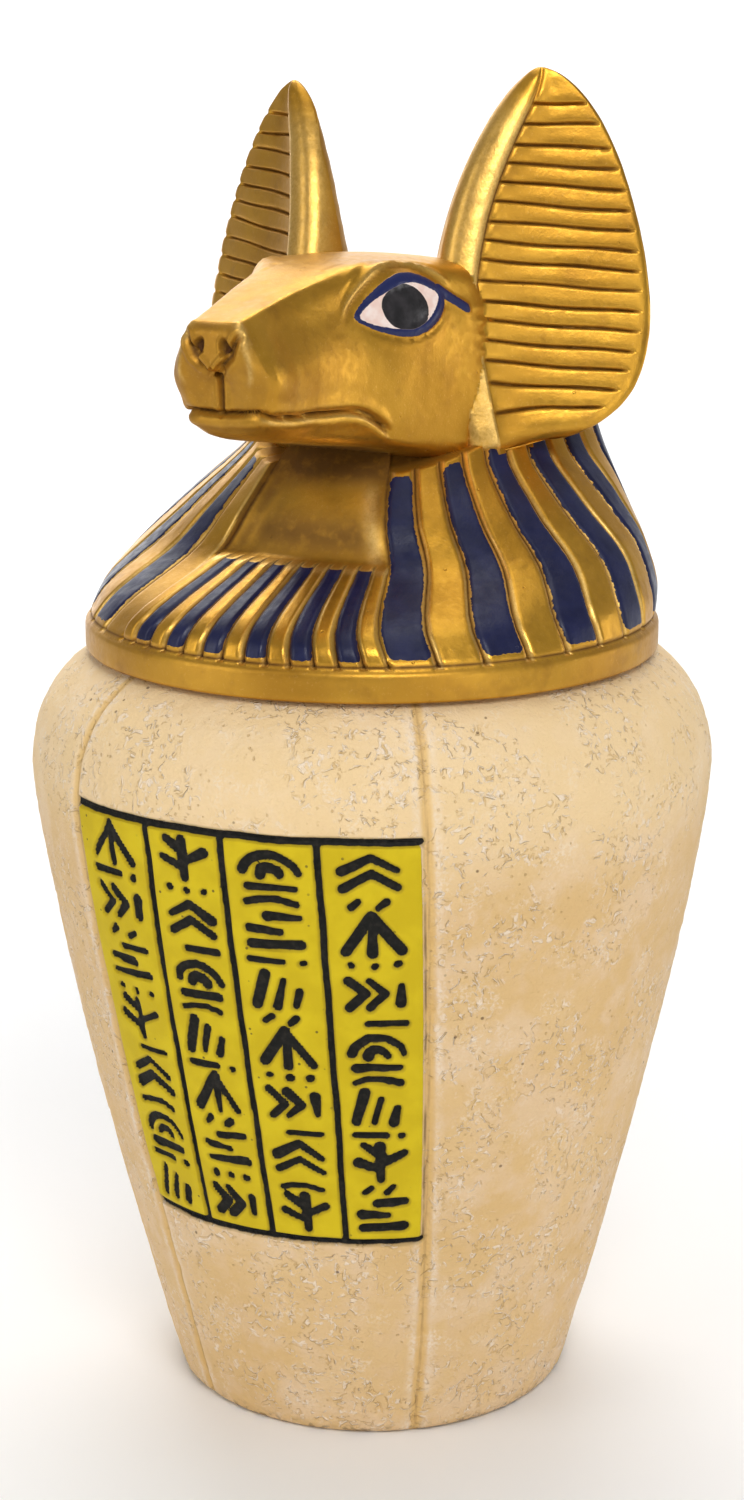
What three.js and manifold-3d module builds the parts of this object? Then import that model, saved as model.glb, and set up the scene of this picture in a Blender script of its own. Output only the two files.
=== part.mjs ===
// A painted cast-resin canopic jar: a hollow stone-coloured jar and a loose jackal-headed lid.
// Millimetres, +Z up, the jar's front faces -Y. The origin is the centre of the jar's foot.
import * as THREE from 'three';
import { mergeVertices } from 'three/addons/utils/BufferGeometryUtils.js';
import Module from 'manifold-3d';

// ---- driving dimensions: jar ----
const jarHeight = 155;
const footRadius = 40.5;
const footRounding = 2.2;
const shoulderRadius = 68.8;
const shoulderHeight = 131.75; // height of the widest ring
const taperPower = 1.28; // 1 would be a straight cone from foot to shoulder
const shoulderDrop = 25; // vertical reach of the shoulder's curve above the widest ring
const shoulderInset = 24; // how far that curve comes in
const shoulderPower = 2.15;
const wall = 6;
const floorThickness = 8;
const mouthRadius = 44;
const mouthDepth = 7; // straight lip below the top

// ---- driving dimensions: panel and seams on the jar ----
// Angles of the panel's edges and column lines from the front, at its bottom and at its top.
const columnEdges = [[-31.5, -32.2], [-15, -15.9], [0.6, -2], [16.6, 13.6], [32.3, 29.4]];
const panelBottom = 47.5;
const panelTop = 132.5;
const panelRows = 7;
const strokeWidth = 1.4;
const strokeDepth = 0.8;
const seamGap = 1.1; // degrees between the panel's edge and the seam
const seamHalfWidth = 1.3;
const seamDepth = 0.7;

// ---- driving dimensions: lid ----
const restGap = 0.3; // paint film between the lid's underside and the jar
const lidTurn = -5.5; // degrees, the loose lid sits turned a little on the jar
const rimRadius = 57.5;
const bandHeight = 6.5;
const rimEase = 0.6; // small bevel on the band's lower edge, twice that on the upper
const spigotRadius = 42.4;
const spigotDepth = 6;
const collarBands = 13; // bands between the two lappet edges, gold first
const lappetBands = 32; // bands from one lappet edge round the back to the other, 16 a side
const gather = 0.21; // how far those bands crowd to the front where the hood narrows
const grooveDepth = 0.7;
const bandCrown = 0.45;

// ---- driving dimensions: ears ----
const earYaw = 33.8; // degrees the ribbed face turns out from straight ahead
const earTilt = 11.8; // degrees the ears lean back
const earRoot = [30, 6.1, 60]; // a point on the ribbed face
const earDrop = 2.8; // the ear on -X sits this much lower
const earTop = 53.6;
const earBottom = -18;
const earWaist = 8.6; // height of the widest place, from the root point
const earCentre = 4.5;
const earHalfWidth = 20.8;
const bottomRounding = 4;
const earDepth = 17; // greatest thickness behind the ribbed face
const ridgeWidth = 7.5; // smooth border along the inner edge
const earHollow = 6.4; // how far the ribbed face dips behind the ridge
const ribCount = 16;
const ribPitch = 3.88;
const firstRib = 46.6; // height of the highest groove above the root point
const ribDepth = 0.9;

const degrees = Math.PI / 180;

// ---- materials ----
const stone = new THREE.MeshStandardMaterial({ color: 0xe9cd96, roughness: 0.85, metalness: 0 });
const gold = new THREE.MeshStandardMaterial({ color: 0xb98a35, roughness: 0.42, metalness: 0.55 });

// ---- small tools ----

// Smooth curve through knots [t, value, value, ...]: a cubic with finite-difference slopes.
function through(knots, t) {
  const last = knots.length - 1;
  if (t <= knots[0][0]) return knots[0].slice(1);
  if (t >= knots[last][0]) return knots[last].slice(1);
  let i = 0;
  while (t > knots[i + 1][0]) i += 1;
  const slope = (k, c) => {
    const a = knots[Math.max(k - 1, 0)];
    const b = knots[Math.min(k + 1, last)];
    return (b[c] - a[c]) / (b[0] - a[0]);
  };
  const [from, to] = [knots[i], knots[i + 1]];
  const span = to[0] - from[0];
  const s = (t - from[0]) / span;
  return from.slice(1).map((_, n) => {
    const c = n + 1;
    return (2 * s ** 3 - 3 * s ** 2 + 1) * from[c] + (s ** 3 - 2 * s ** 2 + s) * span * slope(i, c)
      + (3 * s ** 2 - 2 * s ** 3) * to[c] + (s ** 3 - s ** 2) * span * slope(i + 1, c);
  });
}

// 0 below 0, 1 above 1, with an eased step between.
const smooth = (t) => {
  const c = Math.min(Math.max(t, 0), 1);
  return c * c * (3 - 2 * c);
};

// A closed solid from rings of equal length, each end closed by one centre point.
function ringSolid(rings, startPole, endPole) {
  const n = rings[0].length;
  const points = [startPole, ...rings.flat(), endPole];
  const index = [];
  const at = (ring, k) => 1 + ring * n + (k % n);
  const end = points.length - 1;
  for (let k = 0; k < n; k += 1) {
    index.push(0, at(0, k + 1), at(0, k));
    index.push(end, at(rings.length - 1, k), at(rings.length - 1, k + 1));
    for (let r = 0; r < rings.length - 1; r += 1) {
      index.push(at(r, k), at(r, k + 1), at(r + 1, k + 1), at(r, k), at(r + 1, k + 1), at(r + 1, k));
    }
  }
  const geometry = new THREE.BufferGeometry();
  geometry.setAttribute('position', new THREE.Float32BufferAttribute(points.flat(), 3));
  geometry.setIndex(index);
  return geometry;
}

const wasm = await Module();
wasm.setup();

// A manifold solid from a geometry; faces that point inwards are turned round.
function solid(geometry) {
  const bare = geometry.clone();
  bare.deleteAttribute('normal');
  bare.deleteAttribute('uv');
  const merged = mergeVertices(bare, 1e-4);
  const vertProperties = new Float32Array(merged.attributes.position.array);
  const triVerts = new Uint32Array(merged.index.array);
  const shape = new wasm.Manifold(new wasm.Mesh({ numProp: 3, vertProperties, triVerts }));
  if (shape.volume() >= 0) return shape;
  for (let i = 0; i < triVerts.length; i += 3) {
    [triVerts[i], triVerts[i + 1]] = [triVerts[i + 1], triVerts[i]];
  }
  return new wasm.Manifold(new wasm.Mesh({ numProp: 3, vertProperties, triVerts }));
}

function geometryOf(shape) {
  const mesh = shape.getMesh();
  const geometry = new THREE.BufferGeometry();
  geometry.setAttribute('position', new THREE.Float32BufferAttribute(mesh.vertProperties, 3));
  geometry.setIndex(Array.from(mesh.triVerts));
  geometry.computeVertexNormals();
  return geometry;
}

// ---- jar ----

// Outer radius at a height: a cone that eases into the shoulder, then the shoulder's curve.
function jarRadius(z) {
  if (z <= shoulderHeight) {
    const t = 1 - z / shoulderHeight;
    const low = Math.max(footRounding - z, 0);
    const edge = footRounding - Math.sqrt(footRounding ** 2 - low ** 2);
    return footRadius + (shoulderRadius - footRadius) * (1 - t ** taperPower) - edge;
  }
  const t = (z - shoulderHeight) / shoulderDrop;
  return shoulderRadius - shoulderInset * (1 - (1 - t ** shoulderPower) ** (1 / shoulderPower));
}

// A point on the jar's face; the angle is in degrees from the front, towards +X.
function onJar(angle, z, depth = 0) {
  const r = jarRadius(z) - depth;
  return [r * Math.sin(angle * degrees), -r * Math.cos(angle * degrees), z];
}

// Angle of a column edge of the panel at a height; it runs on above and below the panel.
function columnEdge(c, z) {
  const [low, high] = columnEdges[c];
  const t = Math.min(Math.max((z - panelBottom) / (panelTop - panelBottom), -0.3), 1.1);
  return low + t * (high - low);
}

// Angles of one ring of the jar: even steps, with three close columns at each seam.
function jarAngles(z) {
  const seams = [columnEdge(0, z) - seamGap, columnEdge(columnEdges.length - 1, z) + seamGap];
  const middle = Math.abs(columnEdges[0][0]) + seamGap;
  const side = seamHalfWidth / jarRadius(z) / degrees;
  const angles = [];
  for (let a = -180; a < 180; a += 10) {
    if (Math.abs(Math.abs(a) - middle) > 4) angles.push({ a });
  }
  for (const s of seams) angles.push({ a: s - side }, { a: s, deep: true }, { a: s + side });
  return angles.sort((p, q) => p.a - q.a);
}

function jarOutside() {
  const heights = [0, footRounding * 0.3, footRounding];
  for (let k = 1; k <= 4; k += 1) heights.push(k * shoulderHeight / 4);
  for (const f of [0.4, 0.75, 1]) heights.push(shoulderHeight + f * (jarHeight - shoulderHeight));
  const rings = heights.map((z) => jarAngles(z).map(
    ({ a, deep }) => onJar(a, z, deep && z > 0 ? seamDepth : 0),
  ));
  return ringSolid(rings, [0, 0, 0], [0, 0, jarHeight]);
}

function jarHollow() {
  const profile = [new THREE.Vector2(0, floorThickness)];
  for (let k = 0; k <= 3; k += 1) {
    const z = floorThickness + k * (shoulderHeight - floorThickness) / 3;
    profile.push(new THREE.Vector2(jarRadius(z) - wall, z));
  }
  const lipBottom = jarHeight - mouthDepth;
  const under = shoulderRadius - wall - mouthRadius;
  for (const a of [30, 60, 90]) {
    const z = shoulderHeight + (lipBottom - shoulderHeight) * Math.sin(a * degrees);
    profile.push(new THREE.Vector2(mouthRadius + under * Math.cos(a * degrees), z));
  }
  profile.push(new THREE.Vector2(mouthRadius, jarHeight + 5), new THREE.Vector2(0, jarHeight + 5));
  return new THREE.LatheGeometry(profile, 18).rotateX(Math.PI / 2);
}

// A V-shaped cutter along a path of [angle, height] points on the jar's face.
function strokeCutter(path) {
  const rings = path.map(([angle, z], i) => {
    const r = jarRadius(z);
    const before = path[Math.max(i - 1, 0)];
    const after = path[Math.min(i + 1, path.length - 1)];
    const dx = (after[0] - before[0]) * degrees * r;
    const dz = after[1] - before[1];
    const k = strokeWidth / 2 * (1 + 1 / strokeDepth) / Math.hypot(dx, dz);
    const [sideAngle, sideZ] = [-dz * k / r / degrees, dx * k];
    return [
      onJar(angle - sideAngle, z - sideZ, -1),
      onJar(angle + sideAngle, z + sideZ, -1),
      onJar(angle, z, strokeDepth),
    ];
  });
  const middle = (ring) => [0, 1, 2].map((c) => (ring[0][c] + ring[1][c] + ring[2][c]) / 3);
  return solid(ringSolid(rings, middle(rings[0]), middle(rings[rings.length - 1])));
}

// Abstract marks in a unit cell: bars, rungs, chevrons, arcs, a fan and a twig. None is a letter.
const arc = (cx, cy, r, from, to, steps) => Array.from({ length: steps + 1 }, (_, i) => {
  const a = (from + (to - from) * i / steps) * degrees;
  return [cx + r * Math.cos(a), cy + r * Math.sin(a)];
});
const marks = [
  [[[0.08, 0.15], [0.26, 0.85]], [[0.4, 0.15], [0.54, 0.72]], [[0.72, 0.15], [0.8, 0.5]]],
  [[[0.1, 0.2], [0.9, 0.25]], [[0.1, 0.54], [0.6, 0.5]], [[0.4, 0.8], [0.9, 0.84]]],
  [[[0.1, 0.2], [0.5, 0.5], [0.9, 0.2]], [[0.1, 0.55], [0.5, 0.85], [0.9, 0.55]]],
  [[[0.1, 0.2], [0.35, 0.5], [0.1, 0.8]], [[0.4, 0.2], [0.65, 0.5], [0.4, 0.8]], [[0.9, 0.3], [0.9, 0.7]]],
  [arc(0.5, 0.4, 0.42, 8, 172, 3), arc(0.5, 0.38, 0.16, 10, 170, 2), [[0.15, 0.12], [0.85, 0.14]]],
  [[[0.5, 0.9], [0.1, 0.15]], [[0.5, 0.9], [0.5, 0.1]], [[0.5, 0.9], [0.9, 0.15]]],
  [[[0.5, 0.1], [0.5, 0.9]], [[0.5, 0.3], [0.1, 0.5]], [[0.5, 0.45], [0.9, 0.7]], [[0.5, 0.65], [0.2, 0.9]]],
];

// The mark in each cell, bottom to top, one list for each column.
const markOrder = [[0, 4, 2, 6, 1, 3, 5], [3, 1, 5, 0, 4, 2, 6], [6, 2, 3, 5, 0, 1, 4], [1, 6, 0, 4, 3, 5, 2]];

function panelPaths() {
  const columns = columnEdges.length - 1;
  const row = (panelTop - panelBottom) / panelRows;
  const paths = [];
  for (let c = 1; c < columns; c += 1) {
    const heights = [0, 0.5, 1].map((f) => panelBottom + f * (panelTop - panelBottom));
    paths.push(heights.map((z) => [columnEdge(c, z), z]));
  }
  for (const z of [panelBottom, panelTop]) {
    const [left, right] = [columnEdge(0, z), columnEdge(columns, z)];
    paths.push(Array.from({ length: 6 }, (_, k) => [left + (right - left) * k / 5, z]));
  }
  for (let c = 0; c < columns; c += 1) {
    for (let r = 0; r < panelRows; r += 1) {
      const mark = marks[markOrder[c][r]];
      for (const line of mark) {
        paths.push(line.map(([u, v]) => {
          const z = panelBottom + (r + 0.12 + 0.76 * v) * row;
          const [left, right] = [columnEdge(c, z), columnEdge(c + 1, z)];
          return [left + (0.16 + 0.68 * u) * (right - left), z];
        }));
      }
    }
  }
  return paths;
}

function jarBody() {
  let body = solid(jarOutside()).subtract(solid(jarHollow()));
  for (const path of panelPaths()) body = body.subtract(strokeCutter(path));
  const mesh = new THREE.Mesh(geometryOf(body), stone);
  mesh.name = 'jar_body';
  return mesh;
}

// ---- lid: hood with lappets, collar and neck ----

// Cross-sections of the hood, bottom to top:
// [height, centre y, half width, reach to the front, reach to the back, front roundness]
const hoodLevels = [
  [6.5, 0, 56.3, 56.3, 56.3, 2],
  [12.5, 4, 55.4, 53, 53, 2],
  [20.5, 10, 51.2, 42.5, 44, 2],
  [29, 18, 44.1, 45.5, 35, 1.9],
  [38.5, 28, 35.9, 48.5, 24, 1.8],
  [46, 31, 32, 44, 21, 1.8],
  [58, 31, 27, 30, 19, 2],
  [67, 28, 18, 20, 14, 2],
  [71.5, 25, 7, 9, 6, 2],
];
// Half width of the opening between the lappets, and how far neck or collar stands off the hood.
const openingWidth = [[6.5, 28.7], [20.5, 18.8], [38.5, 12.4], [71.5, 3]];
const collarTop = 20.5;
const collarSwell = [[6.5, 0], [10, 2.4], [15, 3], [19, 1.8], [collarTop, 0.2]];
const neckRecess = 2.6;
const hoodTop = 71.5;
const hemHeight = 37.2; // top edge of the lappets at the throat
const hemRise = 5.5; // how much higher that edge runs by the ears
const throatStep = 4.5;

// Half outline of the hood at a height, from the front centre line round to the back.
function hoodOutline(z) {
  const [centre, half, front, back, power] = through(hoodLevels, z);
  return Array.from({ length: 121 }, (_, i) => {
    const a = i / 120 * Math.PI;
    const p = a < Math.PI / 2 ? power : 2;
    const x = half * Math.sin(a) ** (2 / p);
    const c = Math.abs(Math.cos(a)) ** (2 / p);
    return [Math.abs(x), centre + (a < Math.PI / 2 ? -front : back) * c];
  });
}

// Splits the outline at the lappet edge and returns a function: band position to a point.
// Positions run 0 to 1 over the collar or neck, then 0 to 1 over the lappet and half the back.
function hoodTracks(z) {
  const outline = hoodOutline(z);
  const split = through(openingWidth, z)[0];
  const cut = outline.findIndex(([x]) => x >= split);
  const climb = Math.max((z - bandHeight) / (hemHeight - bandHeight), 0);
  const measure = (points, crowd = 0) => {
    const lengths = [0];
    for (let i = 1; i < points.length; i += 1) {
      const step = Math.hypot(points[i][0] - points[i - 1][0], points[i][1] - points[i - 1][1]);
      lengths.push(lengths[i - 1] + step);
    }
    return (share, offset) => {
      const f = share * (1 - crowd * (1 - share ** 2));
      const target = f * lengths[lengths.length - 1];
      let i = 1;
      while (i < points.length - 1 && lengths[i] < target) i += 1;
      const s = (target - lengths[i - 1]) / (lengths[i] - lengths[i - 1]);
      const dx = points[i][0] - points[i - 1][0];
      const dy = points[i][1] - points[i - 1][1];
      const length = Math.hypot(dx, dy);
      return [
        points[i - 1][0] + s * dx + offset * dy / length,
        points[i - 1][1] + s * dy - offset * dx / length,
      ];
    };
  };
  const crowd = gather * Math.min(climb, 1);
  return { front: measure(outline.slice(0, cut + 1)), lappet: measure(outline.slice(cut), crowd) };
}

// One ring of the hood. Over the lappets the ring climbs towards the ears by a share of hemRise,
// and above the hem the surface steps in to the throat there.
function hoodRing({ level, climb = 0, throat = 0 }) {
  const onCollar = level <= collarTop;
  const half = [];
  const { front, lappet } = hoodTracks(level);
  for (let i = 0; i <= collarBands; i += 1) {
    const ribbed = i % 2 === 0 ? bandCrown : -grooveDepth;
    const offset = onCollar ? through(collarSwell, level)[0] + ribbed : -neckRecess;
    half.push([...front(i / collarBands, offset), level]);
  }
  for (let i = 0; i <= lappetBands; i += 1) {
    const z = level + climb * hemRise * smooth(i / 12);
    const track = climb > 0 ? hoodTracks(z).lappet : lappet;
    const ribbed = i % 2 === 0 && i > 0 ? -grooveDepth : bandCrown;
    const step = throat * throatStep * (1 - smooth((i - 6) / 6));
    half.push([...track(Math.max(i, 0.12) / lappetBands, ribbed - step), z]);
  }
  half[0][0] = 0;
  half[half.length - 1][0] = 0;
  return [...half, ...half.slice(1, -1).reverse().map(([x, y, z]) => [-x, y, z])];
}

function hood() {
  const foot = bandHeight - 1; // starts inside the rim band
  const plain = (level) => ({ level });
  const rings = [
    ...[foot, 10, 15, collarTop, collarTop + 0.8].map(plain),
    { level: 29, climb: 0.4 },
    { level: hemHeight, climb: 1 },
    { level: hemHeight + 1, climb: 1, throat: 1 },
    { level: 46, climb: 1, throat: 1 },
    ...[56, 66].map(plain),
  ].map(hoodRing);
  return solid(ringSolid(rings, [0, 0, foot], [0, 24, hoodTop]));
}

function rimAndSpigot() {
  const profile = [
    [0, -spigotDepth],
    [spigotRadius - 1, -spigotDepth],
    [spigotRadius, -spigotDepth + 1],
    [spigotRadius, 0],
    [rimRadius - rimEase, 0],
    [rimRadius, rimEase],
    [rimRadius, bandHeight - 2 * rimEase],
    [rimRadius - 2 * rimEase, bandHeight],
    [0, bandHeight],
  ];
  const points = profile.map(([r, z]) => new THREE.Vector2(r, z));
  return solid(new THREE.LatheGeometry(points, 32).rotateX(Math.PI / 2));
}

// ---- lid: head ----

// Cross-sections of the head, nose to nape. Each row: y, height of the crown, then half width and
// height of the top edge, the eye line, the cheek, the mouth line and the jaw, last the throat.
const headSections = [
  [-61.4, 68.7, 4.3, 68.3, 6.5, 65.2, 8.8, 59.6, 7.4, 54.4, 4.8, 50.2, 49.4],
  [-57.5, 69.7, 4.8, 69.3, 7.8, 65.6, 10.8, 59.0, 9.2, 53.2, 6.2, 48.4, 47.6],
  [-50.0, 71.5, 5.5, 71.1, 8.2, 66.4, 11.0, 59.6, 9.9, 52.2, 6.9, 46.8, 46.2],
  [-41.0, 74.0, 6.7, 73.2, 9.2, 67.4, 11.4, 60.0, 10.6, 51.6, 7.9, 45.6, 44.9],
  [-30.0, 76.6, 8.9, 75.2, 11.2, 68.7, 13.4, 60.0, 12.8, 50.6, 9.8, 44.4, 43.4],
  [-18.0, 77.4, 12.8, 76.0, 15.6, 69.2, 17.8, 60.0, 16.6, 45.8, 13.4, 42.4, 41.6],
  [-6.0, 77.4, 16.2, 75.8, 19.6, 69.2, 21.5, 60.0, 21.1, 49.0, 17.6, 41.8, 40.6],
  [4.0, 77.0, 17.6, 75.2, 22.0, 69.0, 23.7, 60.0, 24.3, 50.0, 21.6, 41.6, 40.2],
  [14.0, 75.4, 16.0, 73.4, 21.4, 68.0, 23.4, 60.0, 23.4, 51.0, 20.2, 42.6, 41.2],
  [27.0, 69.5, 9.0, 68.4, 12.4, 65.5, 13.5, 60.0, 12.6, 54.0, 9.0, 50.0, 49.0],
];
const faceLean = 0.2; // the front of the muzzle slopes back towards the mouth
const mouthGroove = 1.1;
const mouthEnd = -21; // y of the corner of the mouth

// Point on the head: y picks the section and v runs down the side, from the crown at 0 over the
// top edge at 1, the eye line at 2, the cheek at 3, the mouth at 4 and the jaw at 5 to the throat.
function onHead(y, v) {
  const [crown, ...rest] = through(headSections, y);
  const throat = rest.pop();
  const side = [0, 1, 2, 3, 4].map((k) => [rest[2 * k], rest[2 * k + 1]]);
  const row = [[0, crown], ...side, [0, throat]];
  const mirrored = [[-row[1][0], row[1][1]], ...row, [-row[5][0], row[5][1]]];
  const i = Math.min(Math.floor(v), 5);
  const s = v - i;
  const [a, b, c, d] = mirrored.slice(i, i + 4);
  const [x, z] = [0, 1].map((n) => 0.5 * (2 * b[n] + (c[n] - a[n]) * s
    + (2 * a[n] - 5 * b[n] + 4 * c[n] - d[n]) * s ** 2 + (3 * b[n] - a[n] - 3 * c[n] + d[n]) * s ** 3));
  return [x, z];
}

function headRing(y, scale = 1, shift = 0) {
  const stops = [0, 0.6, 1, 1.4, 2, 2.5, 3, 3.6, 3.85, 4, 4.15, 4.6, 5, 6];
  const half = stops.map((v) => {
    const [x, z] = onHead(y, v);
    const groove = v === 4 && y < mouthEnd ? mouthGroove : 0;
    const lean = Math.max(0, 66 - z) * faceLean * Math.max(0, 1 - (y + 61.2) / 30);
    const [cx, cz] = [x * scale, 61 + (z - 61) * scale];
    return [Math.max(cx - groove, 0), y + lean + shift, cz];
  });
  const left = half.slice(1, -1).reverse().map(([x, yy, z]) => [-x, yy, z]);
  return [...half, ...left];
}

function head() {
  const front = headSections[0][0];
  const rings = [headRing(front, 0.55, -0.7), headRing(front, 0.92, 0)];
  const stations = [-60.2, -57, -51, -44, -37, -30, -24, -18, -12, -6, 0, 5, 10, 15, 20, 27];
  for (const y of stations) rings.push(headRing(y));
  return solid(ringSolid(rings, [0, front - 0.4, 61], [0, 29, 61]));
}

// The eye seen from the side: y of its two corners, height, how far the lids bow and stand out.
const eye = { front: -29.8, back: -6.8, level: 68.4, rise: 5.6, drop: 5.0, stand: 0.55 };

function headSide(y, z) {
  let best = [0, 0];
  let gap = Infinity;
  for (let v = 1; v <= 4; v += 0.05) {
    const [x, height] = onHead(y, v);
    if (Math.abs(height - z) < gap) {
      gap = Math.abs(height - z);
      best = [x, height];
    }
  }
  return best[0];
}

// A raised almond on each side of the head carries the painted eye.
function eyeBoss(side) {
  const middleY = (eye.front + eye.back) / 2;
  const middleZ = eye.level + 1.8;
  const outline = [];
  const steps = 8; // along each lid
  for (let i = 0; i < 2 * steps; i += 1) {
    const upper = i < steps;
    const t = upper ? i / steps : 2 - i / steps;
    const y = eye.front + (eye.back - eye.front) * t;
    const bow = Math.sin(Math.PI * t) ** 0.8;
    outline.push([y, eye.level + 3 * t + (upper ? eye.rise : -eye.drop) * bow]);
  }
  const ring = (stand, shrink) => outline.map(([y, z]) => {
    const [yy, zz] = [middleY + (y - middleY) * shrink, middleZ + (z - middleZ) * shrink];
    return [side * (headSide(yy, zz) + stand), yy, zz];
  });
  const middle = (stand) => [side * (headSide(middleY, middleZ) + stand), middleY, middleZ];
  return solid(ringSolid([ring(-2, 1), ring(eye.stand, 1), ring(0.1, 0.82)], middle(-2), middle(1.4)));
}

function nostril(side) {
  const pit = new THREE.SphereGeometry(1, 8, 6);
  pit.scale(0.8, 1.6, 1.5).rotateY(side * 0.5).translate(side * 2.8, -61.9, 65.4);
  return solid(pit);
}

function lipCleft() {
  const ring = (y, z) => [[-0.7, y - 1.5, z], [0.7, y - 1.5, z], [0, y + 0.9, z]];
  return solid(ringSolid([ring(-60.6, 54), ring(-61.6, 62.4)], [0, -61.2, 54], [0, -62.2, 62.4]));
}

// ---- lid: ears ----

// Half width of the ear's leaf outline at a height above the root point.
function earEdge(h, outer) {
  const up = h > earWaist;
  const reach = up ? earTop - earWaist : earBottom - earWaist;
  const t = Math.min(1, (h - earWaist) / reach);
  if (!up && !outer) return earHalfWidth * (1 - 0.25 * t ** 2);
  const power = up ? (outer ? 1.8 : 1.55) : 2.1;
  return earHalfWidth * (1 - t ** power) ** (1 / power);
}

// One horizontal section of the ear, as [across, depth behind the ribbed face] pairs.
function earSection(h, groove, side) {
  const inner = earCentre - earEdge(h, false);
  const outer = earCentre + earEdge(h, true);
  const width = outer - inner;
  const ridge = Math.min(ridgeWidth, 0.42 * width);
  const lip = Math.min(0.8 + 0.05 * Math.max(0, 30 - h), 0.15 * width);
  const fade = Math.min(1, width / 12, (h - earBottom + 4) / 12);
  const fuller = side < 0 ? 0.04 * (earTop - h) : 0; // the ear on -X is a little thicker
  const thick = Math.min(0.45 * (earTop - h) + 0.6 + fuller, earDepth) * fade;
  const under = Math.min(Math.max((earBottom + bottomRounding - h) / bottomRounding, 0), 1);
  const round = bottomRounding * (1 - Math.sqrt(1 - under ** 2));
  const span = width - ridge - lip;
  const face = [0.04, 0.4, 0.97].map((f) => {
    const hollow = earHollow * f * (1 - f) ** 2.2 * Math.min(1, span / 20);
    return [inner + ridge + f * span, 0.5 + hollow + groove + round];
  });
  const back = [0.25, 0.65].map((f) => {
    const a = (1 - f) * Math.PI;
    return [inner + width * (1 - Math.cos(a)) / 2, 2 + thick * Math.sin(a) ** 0.8 * (0.6 + 0.4 * f)];
  });
  return [
    [inner, 3.2 * Math.min(1, ridge / 6)],
    [inner + 0.3 * ridge, 0.2 + round],
    [inner + 0.8 * ridge, -0.8 * smooth(h / 12) + round],
    [inner + ridge, -0.1 + round],
    ...face,
    [outer - 0.5 * lip, 0.5 + round],
    [outer, 1.2 + round],
    ...back,
    [inner, Math.max(thick * 0.55, 3.4 * Math.min(1, ridge / 6))],
  ];
}

function ear(side) {
  const [cy, sy] = [Math.cos(earYaw * degrees), Math.sin(earYaw * degrees)];
  const [ct, st] = [Math.cos(earTilt * degrees), Math.sin(earTilt * degrees)];
  const across = [cy, sy, 0];
  const facing = [sy * ct, -cy * ct, st];
  const up = [-sy * st, cy * st, ct];
  const place = (a, depth, h) => {
    const p = earRoot.map((root, n) => root + a * across[n] - depth * facing[n] + h * up[n]);
    return [side * p[0], p[1], p[2] - (side < 0 ? earDrop : 0)];
  };
  const levels = [[earBottom + 0.7, 0], [earBottom + 3, 0]];
  for (let k = ribCount - 1; k >= 0; k -= 1) {
    const h = firstRib - k * ribPitch;
    levels.push([h, ribDepth], [h + ribPitch / 2, 0]);
  }
  levels.push([earTop - 2.2, 0], [earTop - 0.6, 0]);
  const rings = levels.map(([h, groove]) => earSection(h, groove, side).map(([a, d]) => place(a, d, h)));
  return solid(ringSolid(rings, place(earCentre, 3, earBottom), place(earCentre, 1, earTop)));
}

function jackalLid() {
  let lid = rimAndSpigot().add(hood()).add(head());
  for (const side of [-1, 1]) {
    lid = lid.add(ear(side)).add(eyeBoss(side)).subtract(nostril(side));
  }
  lid = lid.subtract(lipCleft());
  const mesh = new THREE.Mesh(geometryOf(lid), gold);
  mesh.name = 'jackal_lid';
  mesh.position.z = jarHeight + restGap;
  mesh.rotation.z = lidTurn * degrees;
  return mesh;
}

const canopicJar = new THREE.Group();
canopicJar.add(jarBody(), jackalLid());

export default canopicJar;
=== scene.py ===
# Canopic jar: a hollow, sand-painted resin jar and a loose jackal-headed lid in gold and blue paint.
# Sizes repeat the part's own, in millimetres; each mesh is scaled to metres as it is made.
import math
import bmesh
import bpy
import numpy as np
from mathutils import Matrix, Vector, kdtree


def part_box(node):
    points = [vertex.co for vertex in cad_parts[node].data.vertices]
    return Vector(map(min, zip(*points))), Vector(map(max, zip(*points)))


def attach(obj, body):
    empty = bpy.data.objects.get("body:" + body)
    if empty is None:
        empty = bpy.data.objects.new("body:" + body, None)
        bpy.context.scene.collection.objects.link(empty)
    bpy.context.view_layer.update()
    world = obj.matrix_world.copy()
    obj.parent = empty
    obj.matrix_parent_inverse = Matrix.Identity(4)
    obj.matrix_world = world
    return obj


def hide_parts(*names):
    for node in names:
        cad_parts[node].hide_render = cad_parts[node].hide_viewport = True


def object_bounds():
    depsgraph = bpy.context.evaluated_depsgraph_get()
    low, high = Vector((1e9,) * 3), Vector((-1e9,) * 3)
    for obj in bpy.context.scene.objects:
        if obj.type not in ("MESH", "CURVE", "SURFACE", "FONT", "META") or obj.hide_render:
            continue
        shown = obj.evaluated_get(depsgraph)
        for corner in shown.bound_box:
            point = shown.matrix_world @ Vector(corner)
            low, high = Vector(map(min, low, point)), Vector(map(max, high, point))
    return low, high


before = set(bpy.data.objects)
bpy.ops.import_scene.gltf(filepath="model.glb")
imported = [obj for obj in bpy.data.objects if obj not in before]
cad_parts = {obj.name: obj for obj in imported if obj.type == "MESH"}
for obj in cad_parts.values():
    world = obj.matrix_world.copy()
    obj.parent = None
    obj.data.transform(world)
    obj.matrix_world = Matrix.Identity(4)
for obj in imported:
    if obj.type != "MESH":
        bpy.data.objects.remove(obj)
cad_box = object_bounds()
MM = 0.001
# Stored for a point that is nowhere near a painted shape.
OUTSIDE = -9.0
rng = np.random.default_rng(7)

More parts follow.
